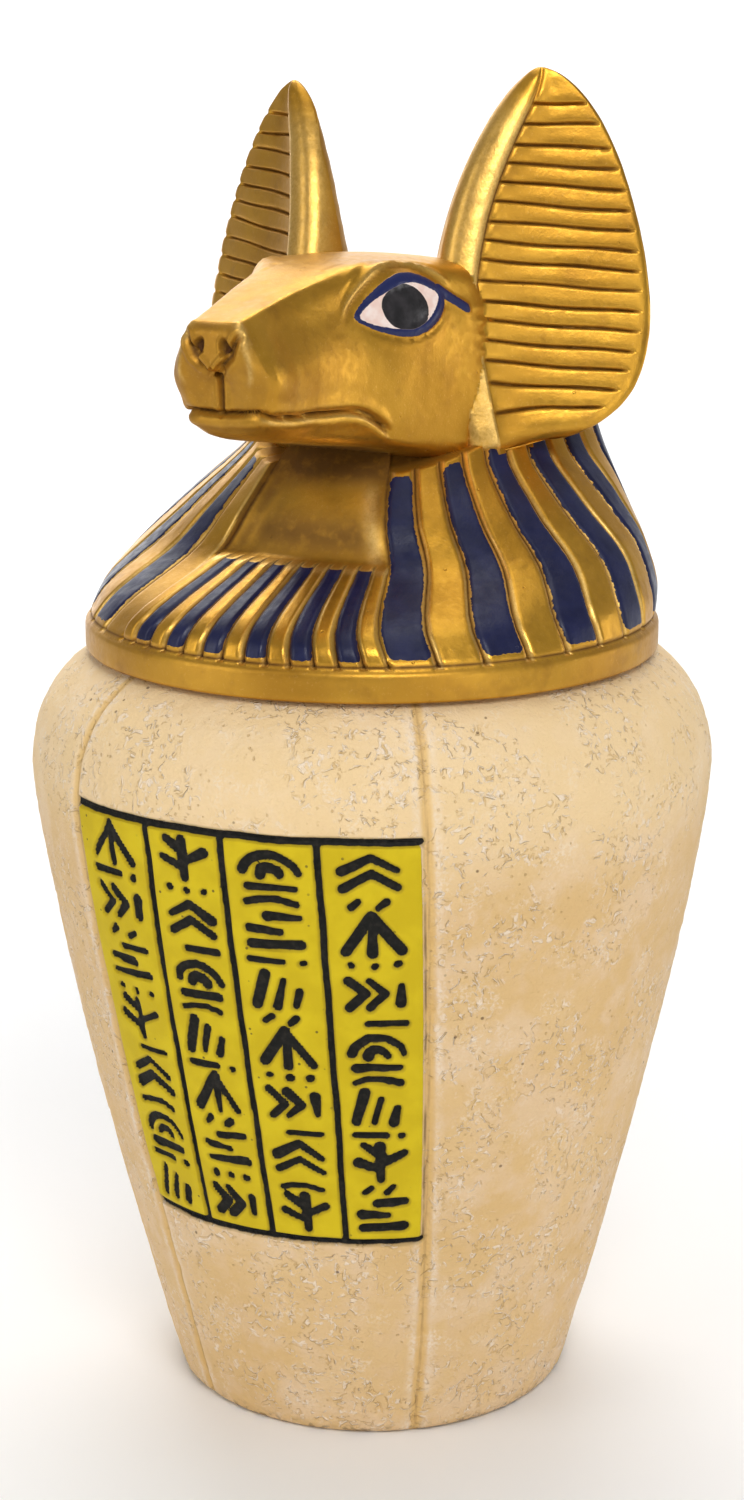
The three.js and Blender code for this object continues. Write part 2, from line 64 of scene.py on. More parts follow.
# ---- the jar's sizes ----
JAR_HEIGHT = 155.0
FOOT_RADIUS = 40.5
FOOT_ROUNDING = 2.2
SHOULDER_RADIUS = 68.8
SHOULDER_HEIGHT = 131.75
TAPER_POWER = 1.28
SHOULDER_DROP = 25.0
SHOULDER_INSET = 24.0
SHOULDER_POWER = 2.15
WALL = 6.0
FLOOR = 8.0
MOUTH_RADIUS = 44.0
MOUTH_DEPTH = 7.0
# Angles of the panel's edges and column lines from the front, at its bottom and at its top.
COLUMN_EDGES = [[-31.5, -32.2], [-15, -15.9], [0.6, -2], [16.6, 13.6], [32.3, 29.4]]
PANEL_BOTTOM = 47.5
PANEL_TOP = 132.5
PANEL_ROWS = 7
STROKE_DEPTH = 0.8
SEAM_GAP = 1.1
SEAM_HALF_WIDTH = 1.3
SEAM_DEPTH = 0.7

# ---- the lid's sizes ----
LID_TURN = -5.5
RIM_RADIUS = 57.5
BAND_HEIGHT = 6.5
SPIGOT_RADIUS = 42.4
SPIGOT_DEPTH = 6.0
COLLAR_BANDS = 13
LAPPET_BANDS = 32
GATHER = 0.21
GROOVE_DEPTH = 0.7
BAND_CROWN = 0.45
COLLAR_TOP = 20.5
NECK_RECESS = 2.6
NECK_COVE = 1.5
COLLAR_STRIPE_TOP = 20.75
RIM_LINE = 6.75
EDGE_ROLL = 1.25
BARE_MARGIN = 0.35
HOOD_TOP = 71.5
HEM_HEIGHT = 37.2
HEM_RISE = 5.5
HEM_REACH = 12
THROAT_STEP = 4.5
HOOD_LEVELS = [
    [6.5, 0, 56.3, 56.3, 56.3, 2], [12.5, 4, 55.4, 53, 53, 2], [20.5, 10, 51.2, 42.5, 44, 2],
    [29, 18, 44.1, 45.5, 35, 1.9], [38.5, 28, 35.9, 48.5, 24, 1.8], [46, 31, 32, 44, 21, 1.8],
    [58, 31, 27, 30, 19, 2], [67, 28, 18, 20, 14, 2], [71.5, 25, 7, 9, 6, 2]]
OPENING_WIDTH = [[6.5, 28.7], [20.5, 18.8], [38.5, 12.4], [71.5, 3]]
COLLAR_SWELL = [[6.5, 0], [10, 2.4], [15, 3], [19, 1.8], [20.5, 0.2]]
HEAD_SECTIONS = [
    [-61.4, 68.7, 4.3, 68.3, 6.5, 65.2, 8.8, 59.6, 7.4, 54.4, 4.8, 50.2, 49.4],
    [-57.5, 69.7, 4.8, 69.3, 7.8, 65.6, 10.8, 59.0, 9.2, 53.2, 6.2, 48.4, 47.6],
    [-50.0, 71.5, 5.5, 71.1, 8.2, 66.4, 11.0, 59.6, 9.9, 52.2, 6.9, 46.8, 46.2],
    [-41.0, 74.0, 6.7, 73.2, 9.2, 67.4, 11.4, 60.0, 10.6, 51.6, 7.9, 45.6, 44.9],
    [-30.0, 76.6, 8.9, 75.2, 11.2, 68.7, 13.4, 60.0, 12.8, 50.6, 9.8, 44.4, 43.4],
    [-18.0, 77.4, 12.8, 76.0, 15.6, 69.2, 17.8, 60.0, 16.6, 45.8, 13.4, 42.4, 41.6],
    [-6.0, 77.4, 16.2, 75.8, 19.6, 69.2, 21.5, 60.0, 21.1, 49.0, 17.6, 41.8, 40.6],
    [4.0, 77.0, 17.6, 75.2, 22.0, 69.0, 23.7, 60.0, 24.3, 50.0, 21.6, 41.6, 40.2],
    [14.0, 75.4, 16.0, 73.4, 21.4, 68.0, 23.4, 60.0, 23.4, 51.0, 20.2, 42.6, 41.2],
    [27.0, 69.5, 9.0, 68.4, 12.4, 65.5, 13.5, 60.0, 12.6, 54.0, 9.0, 50.0, 49.0]]
FACE_LEAN = 0.2
MOUTH_END = -22.5
MOUTH_FRONT, MOUTH_HALF_WIDTH = 52.7, 8.5
# Lip cleft and lower edge of the nose, and the wing beside the nostril, as (sideways, height).
NOSE_OUTLINE = [(0.0, 53.0), (0.0, 59.3), (3.9, 63.0), (5.3, 66.6)]
NOSTRIL_WING = [(3.5, 63.6), (4.5, 65.6)]
JAW_DROP = 3.6
EYE_FRONT, EYE_BACK, EYE_LEVEL = -29.9, -7.0, 67.5
IRIS_RADIUS, IRIS_Y, IRIS_Z = 4.5, -18.0, 68.5
EAR_YAW, EAR_TILT = math.radians(33.8), math.radians(11.8)
EAR_ROOT = (30.0, 6.1, 60.0)
EAR_DROP = 2.8
EAR_TOP, EAR_BOTTOM, EAR_WAIST = 53.6, -18.0, 8.6
EAR_CENTRE, EAR_HALF_WIDTH, EAR_DEPTH = 4.5, 20.8, 17.0
BOTTOM_ROUNDING, RIDGE_WIDTH, EAR_HOLLOW = 4.0, 7.5, 6.4
RIB_COUNT, RIB_PITCH, FIRST_RIB, RIB_DEPTH = 16, 3.88, 46.6, 0.9
NEAR_EAR_SAG, FAR_EAR_SAG = -0.085, 0.08
# Painted shade over the back of each ear.
BACK_SHADE = 0.28


# ---- numeric tools ----

def smooth(t):
    t = np.clip(t, 0, 1)
    return t * t * (3 - 2 * t)


def rise(x, start, width):
    """0 up to the start, 1 once a width beyond it."""
    return smooth((x - start) / width)


def drop(x, end, width):
    """1 up to a width before the end, 0 from there on."""
    return smooth((end - x) / width)


def clip_root(t):
    """Quarter circle from 0 at 0 to 1 at 1, and 1 beyond."""
    return math.sqrt(1 - (1 - min(max(t, 0), 1)) ** 2)


def bell(d, width):
    return np.exp(-(d / width) ** 2)


def strongest(first, *others):
    """The largest of several values, point by point."""
    for other in others:
        first = np.maximum(first, other)
    return first


def mirrored(right, left):
    """Columns of the right half, then those of the left half from back to front; the ends are shared."""
    return np.concatenate([right, left[:, 1:-1][:, ::-1]], 1)


def per_vertex(right, left, end=0.0):
    """Values of a mirrored mesh's vertices, with one value for its two end points."""
    return np.append(mirrored(right, left), [end, end])


def through(knots, t):
    """Cubic through knots [t, value, ...] with finite-difference slopes; t may be an array."""
    k = np.asarray(knots, float)
    x, v = k[:, 0], k[:, 1:]
    t = np.clip(np.asarray(t, float), x[0], x[-1])
    i = np.clip(np.searchsorted(x, t, side="right") - 1, 0, len(x) - 2)
    n = np.arange(len(x))
    lo, hi = np.maximum(n - 1, 0), np.minimum(n + 1, len(x) - 1)
    slope = (v[hi] - v[lo]) / (x[hi] - x[lo])[:, None]
    span = (x[i + 1] - x[i])[..., None]
    s = (t - x[i])[..., None] / span
    return ((2 * s**3 - 3 * s**2 + 1) * v[i] + (s**3 - 2 * s**2 + s) * span * slope[i]
            + (3 * s**2 - 2 * s**3) * v[i + 1] + (s**3 - s**2) * span * slope[i + 1])


LATTICE_SIZE = 32
LATTICE = rng.normal(size=(LATTICE_SIZE, LATTICE_SIZE, LATTICE_SIZE, 3))
LATTICE /= np.linalg.norm(LATTICE, axis=3, keepdims=True)


def noise(p, scale):
    """Smooth gradient noise from -1 to 1 at points p, with features about scale millimetres across."""
    q = p / scale
    cell = np.floor(q).astype(int)
    f = q - cell
    near = smooth(f)
    total = 0
    for corner in np.ndindex(2, 2, 2):
        weight = np.where(corner, near, 1 - near).prod(axis=1)
        slope = LATTICE[tuple(((cell + corner) % LATTICE_SIZE).T)]
        total = total + weight * ((f - corner) * slope).sum(axis=1)
    return 1.7 * total


def segment_distance(u, v, a, b):
    """Distance from points (u, v) to the segment a to b, and how far along it, 0 to 1."""
    du, dv = b[0] - a[0], b[1] - a[1]
    t = np.clip(((u - a[0]) * du + (v - a[1]) * dv) / (du * du + dv * dv), 0, 1)
    return np.hypot(u - a[0] - t * du, v - a[1] - t * dv), t


def rounded_inside(side, end, radius):
    """Distance inside a corner between two sides, with the corner rounded; negative outside."""
    short = np.hypot(np.maximum(radius - side, 0), np.maximum(radius - end, 0))
    return np.minimum(np.minimum(side, end), radius - short)


def path_distance(u, v, path):
    return np.min([segment_distance(u, v, a, b)[0] for a, b in zip(path[:-1], path[1:])], axis=0)


def curve_distance(u, v, path):
    """Distance from points (u, v) to a path of rising u, negative below it."""
    knots = np.array(path)
    return path_distance(u, v, path) * np.where(v < np.interp(u, knots[:, 0], knots[:, 1]), -1, 1)


# ---- mesh tools ----

def closed_mesh(name, rings, start, end):
    """Mesh of a closed solid from rings (r, c, 3), with a point closing each end."""
    rows, cols = rings.shape[:2]
    verts = np.concatenate([rings.reshape(-1, 3), [start], [end]])
    at = np.arange(rows * cols).reshape(rows, cols)
    nxt = np.roll(at, -1, axis=1)
    quads = np.stack([at[:-1], nxt[:-1], nxt[1:], at[1:]], -1).reshape(-1, 4)
    first, last = np.full(cols, rows * cols), np.full(cols, rows * cols + 1)
    tris = np.concatenate([np.stack([first, nxt[0], at[0]], -1), np.stack([last, at[-1], nxt[-1]], -1)])
    p = verts[quads]
    volume = np.einsum("ij,ij->i", p[:, 0], np.cross(p[:, 1], p[:, 2])
                       + np.cross(p[:, 2], p[:, 3])).sum()
    if volume < 0:
        quads, tris = quads[:, ::-1], tris[:, ::-1]
    mesh = bpy.data.meshes.new(name)
    mesh.vertices.add(len(verts))
    mesh.vertices.foreach_set("co", np.asarray(verts, np.float32).ravel())
    loops = np.concatenate([quads.ravel(), tris.ravel()]).astype(np.int32)
    mesh.loops.add(len(loops))
    mesh.loops.foreach_set("vertex_index", loops)
    mesh.polygons.add(len(quads) + len(tris))
    starts = np.concatenate([np.arange(len(quads)) * 4, len(quads) * 4 + np.arange(len(tris)) * 3])
    mesh.polygons.foreach_set("loop_start", starts.astype(np.int32))
    mesh.update(calc_edges=True)
    mesh.validate()
    return mesh


def triples(items, key):
    values = np.zeros(len(items) * 3, np.float32)
    items.foreach_get(key, values)
    return values.reshape(-1, 3).astype(float)


def coordinates(mesh):
    return triples(mesh.vertices, "co")


def vertex_normals(mesh):
    return triples(mesh.vertex_normals, "vector")


def displace(mesh, amount):
    """Moves every vertex outward along its normal, by millimetres, and returns the new places."""
    moved = coordinates(mesh) + vertex_normals(mesh) * amount[:, None]
    mesh.vertices.foreach_set("co", np.asarray(moved, np.float32).ravel())
    mesh.update()
    return moved


def add_values(mesh, values):
    """Stores per-vertex numbers that the materials read."""
    for name, array in values.items():
        layer = mesh.attributes.new(name, "FLOAT", "POINT")
        layer.data.foreach_set("value", np.asarray(array, np.float32))


def new_object(name, data):
    made = bpy.data.objects.new(name, data)
    bpy.context.collection.objects.link(made)
    return made


def finish_piece(mesh, name, origin, turn, material, node, sharp):
    place = Matrix.Translation(origin) @ Matrix.Rotation(math.radians(turn), 4, "Z")
    mesh.transform(place @ Matrix.Scale(MM, 4))
    mesh.shade_smooth()
    mesh.set_sharp_from_angle(angle=math.radians(sharp))
    mesh.materials.clear()
    mesh.materials.append(material)
    piece = new_object(name, mesh)
    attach(piece, "root")
    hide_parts(node)


# ---- material tools ----

class Shader:
    """A small builder for node materials: every method returns the socket it makes."""

    def __init__(self, name):
        self.material = bpy.data.materials.new(name)
        self.material.use_nodes = True
        self.nodes = self.material.node_tree.nodes
        self.links = self.material.node_tree.links
        self.surface = self.nodes["Principled BSDF"]
        metres = self.node("TexCoord", {}, "Object")
        self.place = self.node("VectorMath", {0: metres, 1: (1 / MM,) * 3}, operation="MULTIPLY")

    def put(self, value, socket):
        if isinstance(value, bpy.types.NodeSocket):
            self.links.new(value, socket)
        elif isinstance(value, tuple) and socket.type == "RGBA":
            socket.default_value = (*value, 1)
        else:
            socket.default_value = value

    def node(self, kind, inputs, output=0, **settings):
        node = self.nodes.new("ShaderNode" + kind)
        for key, value in settings.items():
            setattr(node, key, value)
        for key, value in inputs.items():
            self.put(value, node.inputs[key])
        return node.outputs[output]

    def math(self, operation, a, b=0.0, c=0.0, clamp=False):
        return self.node("Math", {0: a, 1: b, 2: c}, operation=operation, use_clamp=clamp)

    def times(self, a, b, clamp=False):
        return self.math("MULTIPLY", a, b, clamp=clamp)

    def scaled(self, value, factor, added):
        return self.math("MULTIPLY_ADD", value, factor, added)

    def value(self, name):
        return self.node("Attribute", {}, "Fac", attribute_name=name)

    def noise(self, size, detail=2, roughness=0.5, distortion=0.0):
        return self.node("TexNoise", {"Vector": self.place, "Scale": 1 / size, "Detail": detail,
                                      "Roughness": roughness, "Distortion": distortion}, "Fac")

    def ramp(self, value, low, high, to_low=0.0, to_high=1.0):
        inputs = dict(enumerate((value, low, high, to_low, to_high)))
        return self.node("MapRange", inputs, interpolation_type="SMOOTHSTEP")

    def patches(self, size, detail, *limits):
        """Soft patches: noise of a size in millimetres, taken through a ramp."""
        return self.ramp(self.noise(size, detail), *limits)

    def spots(self, size, inner, outer, to_inner=1.0, to_outer=0.0):
        """Round spots about a size apart, each fading from an inner to an outer radius."""
        cells = self.node("TexVoronoi", {"Vector": self.place, "Scale": 1 / size}, "Distance")
        return self.ramp(cells, inner, outer, to_inner, to_outer)

    def contour(self, value, level, width):
        """1 where the value is at the level, falling to 0 at a distance of width."""
        gap = self.math("ABSOLUTE", self.math("SUBTRACT", value, level))
        return self.ramp(gap, 0.0, width, 1.0, 0.0)

    def mix(self, factor, a, b):
        return self.node("Mix", {0: factor, 6: a, 7: b}, 2, data_type="RGBA")

    def tint(self, base, color, cover, share):
        """The base with a colour laid over it, as far as cover times share."""
        return self.mix(self.times(cover, share), base, color)

    def blend(self, factor, a, b):
        return self.node("Mix", {0: factor, 2: a, 3: b})

    def bump(self, height, distance, strength):
        inputs = {"Strength": strength, "Distance": distance * MM, "Height": height}
        return self.node("Bump", inputs, "Normal")

    def finish(self, color, roughness, metallic, normal, **constants):
        inputs = {"Base Color": color, "Roughness": roughness, "Metallic": metallic, "Normal": normal}
        for name, value in inputs.items():
            self.put(value, self.surface.inputs[name])
        for name, value in constants.items():
            self.surface.inputs[name.replace("_", " ")].default_value = value
        return self.material


# ---- materials; a pair of colours is the range that a soft pattern runs through ----

GOLD = (0.53, 0.262, 0.025), (0.66, 0.350, 0.038)
# The last of the next three colours is a painted highlight.
BROWN_GOLD, PALE_GOLD, HIGHLIGHT_GOLD = (0.36, 0.165, 0.022), (0.85, 0.52, 0.15), (0.97, 0.66, 0.22)
# Painted shade, with some dark wash in the grooves.
SHADE_AND_WASH_BROWN = (0.085, 0.030, 0.004)
STRIPE_BLUE = (0.005, 0.007, 0.038), (0.010, 0.013, 0.058)
OUTLINE_BLUE = (0.010, 0.016, 0.085)
EYE_WHITE = (0.84, 0.62, 0.53), (0.92, 0.78, 0.71)
IRIS_BLACK = (0.014, 0.013, 0.014), (0.038, 0.034, 0.037)
SAND = (0.73, 0.485, 0.215), (0.77, 0.53, 0.26)
# The last of the next three colours is painted light on the shoulder.
SAND_WARM, SAND_PALE, SAND_SUNLIT = (0.78, 0.55, 0.32), (0.83, 0.63, 0.44), (0.95, 0.73, 0.43)
# The first two colours below are a painted highlight and painted shade on the chips.
CHIP_HIGHLIGHT, CHIP_SHADE, CHALK = (0.93, 0.80, 0.67), (0.66, 0.40, 0.13), (0.90, 0.77, 0.62)
HOLE_BROWN, SPECK, FOOT_DIRT = (0.58, 0.35, 0.12), (0.16, 0.09, 0.04), (0.14, 0.08, 0.04)
SEAM_WASH, SEAM_LINE, SEAM_HAZE = (0.76, 0.49, 0.17), (0.42, 0.24, 0.09), (0.92, 0.80, 0.68)
PANEL_YELLOW = (0.60, 0.435, 0.003), (0.68, 0.51, 0.006)
# The first colour below is painted shade along the panel's edge.
PANEL_EDGE_SHADE, PANEL_DUST, INK_HALO = (0.13, 0.08, 0.04), (0.10, 0.07, 0.01), (0.20, 0.12, 0.01)
INK = (0.003, 0.003, 0.002), (0.018, 0.015, 0.011)


def lid_paint():
    """Gold paint with blue bands, painted eyes, painted shade and painted highlights; colours change where
    stored distances cross 0.
    """
    s = Shader("lid_paint")
    edge = s.math("ADD", s.scaled(s.noise(3.2, 3), 0.8, -0.4), s.scaled(s.noise(0.8), 0.5, -0.25))
    fleck = s.noise(0.55, 2, 0.7)
    gold = s.mix(s.patches(26, 3, 0.35, 0.65), *GOLD)
    gold = s.mix(s.ramp(s.noise(6, 3, 0.6), 0.5, 0.72, 0, 0.4), gold, BROWN_GOLD)
    gold = s.mix(s.ramp(fleck, 0.56, 0.8, 0, 0.3), gold, PALE_GOLD)
    # Painted highlights on edges, ridges and the neck, in a paler gold.
    painted_highlight = s.times(s.value("painted_highlight"), s.ramp(fleck, 0.3, 0.6, 0.6, 1), clamp=True)
    gold = s.mix(painted_highlight, gold, HIGHLIGHT_GOLD)
    # Painted shade, with some dark wash in the grooves, in dark brown.
    shade_and_wash_mask = s.times(s.value("shade_and_wash"), s.patches(2.4, 3, 0.25, 0.55, 0.7, 1), clamp=True)
    gold = s.mix(shade_and_wash_mask, gold, SHADE_AND_WASH_BROWN)
    in_blue = s.ramp(s.math("ADD", s.value("blue"), edge), -0.05, 0.07)
    in_navy, in_white, in_iris = (s.ramp(s.scaled(edge, raggedness, s.value(name)), -0.04, 0.05)
                                  for name, raggedness in (("navy", 0.3), ("white", 0.3), ("iris", 0.2)))
    in_iris = s.times(in_iris, in_white)
    color = s.mix(in_blue, gold, s.mix(s.patches(5, 3, 0.3, 0.7), *STRIPE_BLUE))
    color = s.mix(in_navy, color, OUTLINE_BLUE)
    color = s.mix(in_white, color, s.mix(s.patches(2.2, 2, 0.35, 0.7), *EYE_WHITE))
    color = s.mix(in_iris, color, s.mix(s.patches(3, 2, 0.35, 0.75), *IRIS_BLACK))
    painted = s.math("MAXIMUM", in_blue, s.math("MAXIMUM", in_navy, in_white))
    metallic = s.blend(painted, s.blend(shade_and_wash_mask, 0.85, 0.3), 0.0)
    rough = s.blend(shade_and_wash_mask, s.patches(1.4, 3, 0.2, 0.8, 0.29, 0.43), 0.75)
    rough = s.blend(painted, rough, s.patches(1.8, 2, 0.3, 0.7, 0.30, 0.44))
    rough = s.blend(in_iris, rough, 0.25)
    height = s.scaled(painted, 0.12, s.scaled(fleck, 0.08, s.times(s.noise(2.6, 3), 0.20)))
    height = s.math("ADD", height, s.spots(7, 0.02, 0.05, -0.3, 0))
    return s.finish(color, rough, metallic, s.bump(height, 0.45, 0.8), Specular_IOR_Level=0.36)


def jar_paint():
    """Sand-coloured chipped and pitted paint with a yellow panel and black strokes, painted light on the
    shoulder, and painted highlights and shade on the chips and by the panel.
    """
    s = Shader("jar_paint")
    wobble = s.scaled(s.noise(2.2, 3), 0.5, -0.25)
    fine = s.noise(0.7, 3, 0.6)
    sand = s.mix(s.patches(30, 3, 0.35, 0.65), *SAND)
    sand = s.mix(s.patches(7, 3, 0.45, 0.68, 0, 0.6), sand, SAND_WARM)
    sand = s.mix(s.ramp(s.noise(13, 4, 0.6), 0.48, 0.66, 0, 0.45), sand, SAND_PALE)
    # Painted light: paler towards the top of the shoulder.
    sand = s.tint(sand, SAND_SUNLIT, s.value("top_light"), 0.55)
    # short curled chips: a painted highlight along one side and painted shade along the other, over a
    # matching bump
    curl = s.noise(3.1, 2.5, 0.5, 0.9)
    chips = s.times(s.patches(1.5, 2, 0.47, 0.57), s.patches(15, 3, 0.40, 0.54))
    crest = s.times(s.contour(curl, 0.49, 0.050), chips)
    trough = s.times(s.contour(curl, 0.56, 0.034), chips)
    chalk = s.times(s.ramp(s.noise(9, 4, 0.65), 0.50, 0.68), s.ramp(fine, 0.46, 0.62))
    holes = s.times(s.spots(1.7, 0.10, 0.20), s.patches(8, 3, 0.50, 0.60))
    specks = s.times(s.spots(5.2, 0.045, 0.085), s.patches(14, 2, 0.47, 0.60))
    seam = s.math("ADD", s.value("seam"), s.times(wobble, 0.8))
    for color, cover, share in (
            (CHIP_HIGHLIGHT, crest, 0.7), (CHIP_SHADE, trough, 0.45), (CHALK, chalk, 0.5),
            (HOLE_BROWN, holes, 0.5), (SPECK, specks, 0.8), (SEAM_WASH, s.ramp(seam, 0.5, 1.3, 1, 0), 0.7)):
        sand = s.tint(sand, color, cover, share)
    sand = s.mix(s.ramp(seam, 0.0, 0.45, 0.55, 0), sand, SEAM_LINE)
    beside = s.times(s.ramp(seam, 1.0, 1.6), s.ramp(seam, 1.6, 3.4, 1, 0))
    haze = s.times(s.ramp(fine, 0.35, 0.6, 0.15, 0.5), s.patches(9, 2, 0.35, 0.6, 0.3, 1))
    sand = s.tint(sand, SEAM_HAZE, beside, haze)
    # Painted shade: a dark line just outside the panel's edge.
    rim = s.contour(s.scaled(wobble, 0.6, s.value("panel")), -0.5, 0.5)
    sand = s.tint(sand, PANEL_EDGE_SHADE, rim, s.patches(16, 3, 0.40, 0.55, 0.15, 0.8))
    foot = s.times(s.value("foot"), s.patches(1.6, 3, 0.5, 0.62))
    sand = s.mix(s.times(foot, 0.7, clamp=True), sand, FOOT_DIRT)
    yellow = s.mix(s.patches(7, 3, 0.35, 0.7), *PANEL_YELLOW)
    dust = s.times(s.spots(3.1, 0.06, 0.12), s.patches(8, 2, 0.48, 0.60))
    yellow = s.tint(yellow, PANEL_DUST, dust, 0.85)
    in_panel = s.ramp(s.scaled(wobble, 0.5, s.value("panel")), -0.06, 0.08)
    ink = s.scaled(wobble, 0.7, s.value("ink"))
    in_ink = s.ramp(ink, -0.08, 0.08)
    color = s.tint(s.mix(in_panel, sand, yellow), INK_HALO, s.ramp(ink, -0.6, -0.05), 0.4)
    color = s.mix(in_ink, color, s.mix(s.patches(1.1, 3, 0.4, 0.75), *INK))
    rough = s.ramp(fine, 0.3, 0.7, 0.58, 0.74)
    rough = s.blend(in_ink, s.blend(in_panel, rough, 0.7), 0.7)
    grain = s.scaled(fine, 0.18, s.times(s.noise(3.4, 4, 0.6), 0.36))
    relief = s.scaled(holes, -0.16, s.scaled(crest, 0.14, s.times(trough, -0.14)))
    height = s.blend(in_panel, s.math("ADD", grain, relief), s.times(grain, 0.35))
    return s.finish(color, rough, 0.0, s.bump(height, 1.1, 1.0), Specular_IOR_Level=0.28)


# ---- jar ----

def jar_radius(z):
    t = np.clip(1 - z / SHOULDER_HEIGHT, 0, 1)
    low = np.clip(FOOT_ROUNDING - z, 0, FOOT_ROUNDING)
    edge = FOOT_ROUNDING - np.sqrt(FOOT_ROUNDING**2 - low**2)
    cone = FOOT_RADIUS + (SHOULDER_RADIUS - FOOT_RADIUS) * (1 - t**TAPER_POWER) - edge
    u = np.clip((z - SHOULDER_HEIGHT) / SHOULDER_DROP, 0, 1)
    top = SHOULDER_RADIUS - SHOULDER_INSET * (1 - (1 - u**SHOULDER_POWER) ** (1 / SHOULDER_POWER))
    return np.where(z <= SHOULDER_HEIGHT, cone, top)


def arc(cx, cy, r, start, end, steps):
    a = np.radians(np.linspace(start, end, steps + 1))
    return [(cx + r * math.cos(t), cy + r * math.sin(t)) for t in a]


# Abstract marks in a unit cell: bars, rungs, chevrons, arcs, a fan and a twig. None is a letter.
MARKS = [
    [[(0.08, 0.15), (0.26, 0.85)], [(0.4, 0.15), (0.54, 0.72)], [(0.72, 0.15), (0.8, 0.5)]],
    [[(0.1, 0.2), (0.9, 0.25)], [(0.1, 0.54), (0.6, 0.5)], [(0.4, 0.8), (0.9, 0.84)]],
    [[(0.1, 0.2), (0.5, 0.5), (0.9, 0.2)], [(0.1, 0.55), (0.5, 0.85), (0.9, 0.55)]],
    [[(0.1, 0.2), (0.35, 0.5), (0.1, 0.8)], [(0.4, 0.2), (0.65, 0.5), (0.4, 0.8)],
     [(0.9, 0.3), (0.9, 0.7)]],
    [arc(0.5, 0.4, 0.42, 8, 172, 8), arc(0.5, 0.38, 0.16, 10, 170, 5), [(0.15, 0.12), (0.85, 0.14)]],
    [[(0.5, 0.9), (0.1, 0.15)], [(0.5, 0.9), (0.5, 0.1)], [(0.5, 0.9), (0.9, 0.15)]],
    [[(0.5, 0.1), (0.5, 0.9)], [(0.5, 0.3), (0.1, 0.5)], [(0.5, 0.45), (0.9, 0.7)],
     [(0.5, 0.65), (0.2, 0.9)]],
]
# The mark in each cell, bottom to top, one list for each column.
MARK_ORDER = [[0, 4, 2, 6, 1, 3, 5], [3, 1, 5, 0, 4, 2, 6], [6, 2, 3, 5, 0, 1, 4], [1, 6, 0, 4, 3, 5, 2]]
# Smaller marks in the gap above each: a bar and a dot, three dots, an arc, two ticks, a bar.
SMALL_MARKS = [
    [[(0.05, 1.14), (0.6, 1.16)], [(0.88, 1.15), (0.9, 1.15)]],
    [[(0.15, 1.15), (0.17, 1.15)], [(0.5, 1.13), (0.52, 1.13)], [(0.84, 1.16), (0.86, 1.16)]],
    [[(0.1, 1.1), (0.3, 1.18), (0.6, 1.18), (0.85, 1.1)]],
    [[(0.2, 1.08), (0.3, 1.2)], [(0.6, 1.08), (0.72, 1.2)]],
    [[(0.35, 1.13), (0.95, 1.15)]],
]


def column_edge(c, z):
    """Angle of a column edge of the panel at a height; it runs on above and below the panel."""
    low, high = COLUMN_EDGES[c]
    t = np.clip((z - PANEL_BOTTOM) / (PANEL_TOP - PANEL_BOTTOM), -0.3, 1.1)
    return low + t * (high - low)


def cell_point(c, r, u, v):
    z = PANEL_BOTTOM + (r + 0.12 + 0.76 * v) * (PANEL_TOP - PANEL_BOTTOM) / PANEL_ROWS
    left, right = column_edge(c, z), column_edge(c + 1, z)
    return left + (0.16 + 0.68 * u) * (right - left), z


def panel_strokes():
    """Paths of (angle, height) points with a width in millimetres at each end."""
    columns = len(COLUMN_EDGES) - 1
    strokes = []
    for c in range(1, columns):
        heights = np.linspace(PANEL_BOTTOM, PANEL_TOP, 12)
        drift = rng.uniform(-0.12, 0.12, 12)
        strokes.append(([(column_edge(c, z) + d, z) for d, z in zip(drift, heights)], 1.2, 1.35))
    for z in (PANEL_BOTTOM, PANEL_TOP):
        angles = np.linspace(column_edge(0, z), column_edge(columns, z), 14)
        drift = rng.uniform(-0.15, 0.15, 14)
        strokes.append(([(a, z + d) for a, d in zip(angles, drift)], 1.5, 1.4))
    for c in range(columns):
        for r in range(PANEL_ROWS):
            lines = [(line, 1.2, 2.4) for line in MARKS[MARK_ORDER[c][r]]]
            if r < PANEL_ROWS - 1:
                lines += [(line, 1.1, 1.7) for line in SMALL_MARKS[(c + 2 * r) % len(SMALL_MARKS)]]
            for line, thin, thick in lines:
                shift = rng.uniform(-0.02, 0.02, (len(line), 2))
                path = [cell_point(c, r, u + du, v + dv) for (u, v), (du, dv) in zip(line, shift)]
                strokes.append((path, *rng.uniform(thin, thick, 2)))
    return strokes


def ink_distance(angle, z):
    """Millimetres inside (+) or outside (-) the nearest stroke, for points on the jar's face."""
    margin = 2.5
    found = np.full(len(z), OUTSIDE)
    per_degree = math.radians(1) * jar_radius(z)
    for path, wide_start, wide_end in panel_strokes():
        pieces = len(path) - 1
        for k in range(pieces):
            (a0, z0), (a1, z1) = path[k], path[k + 1]
            near = np.nonzero((angle > min(a0, a1) - margin) & (angle < max(a0, a1) + margin)
                              & (z > min(z0, z1) - margin) & (z < max(z0, z1) + margin))[0]
            scale = per_degree[near]
            d, t = segment_distance((angle[near] - a0) * scale, z[near] - z0, (0.0, 0.0),
                                    ((a1 - a0) * scale.mean(), z1 - z0))
            width = wide_start + (wide_end - wide_start) * (k + t) / pieces
            found[near] = np.maximum(found[near], width / 2 - d)
    return found


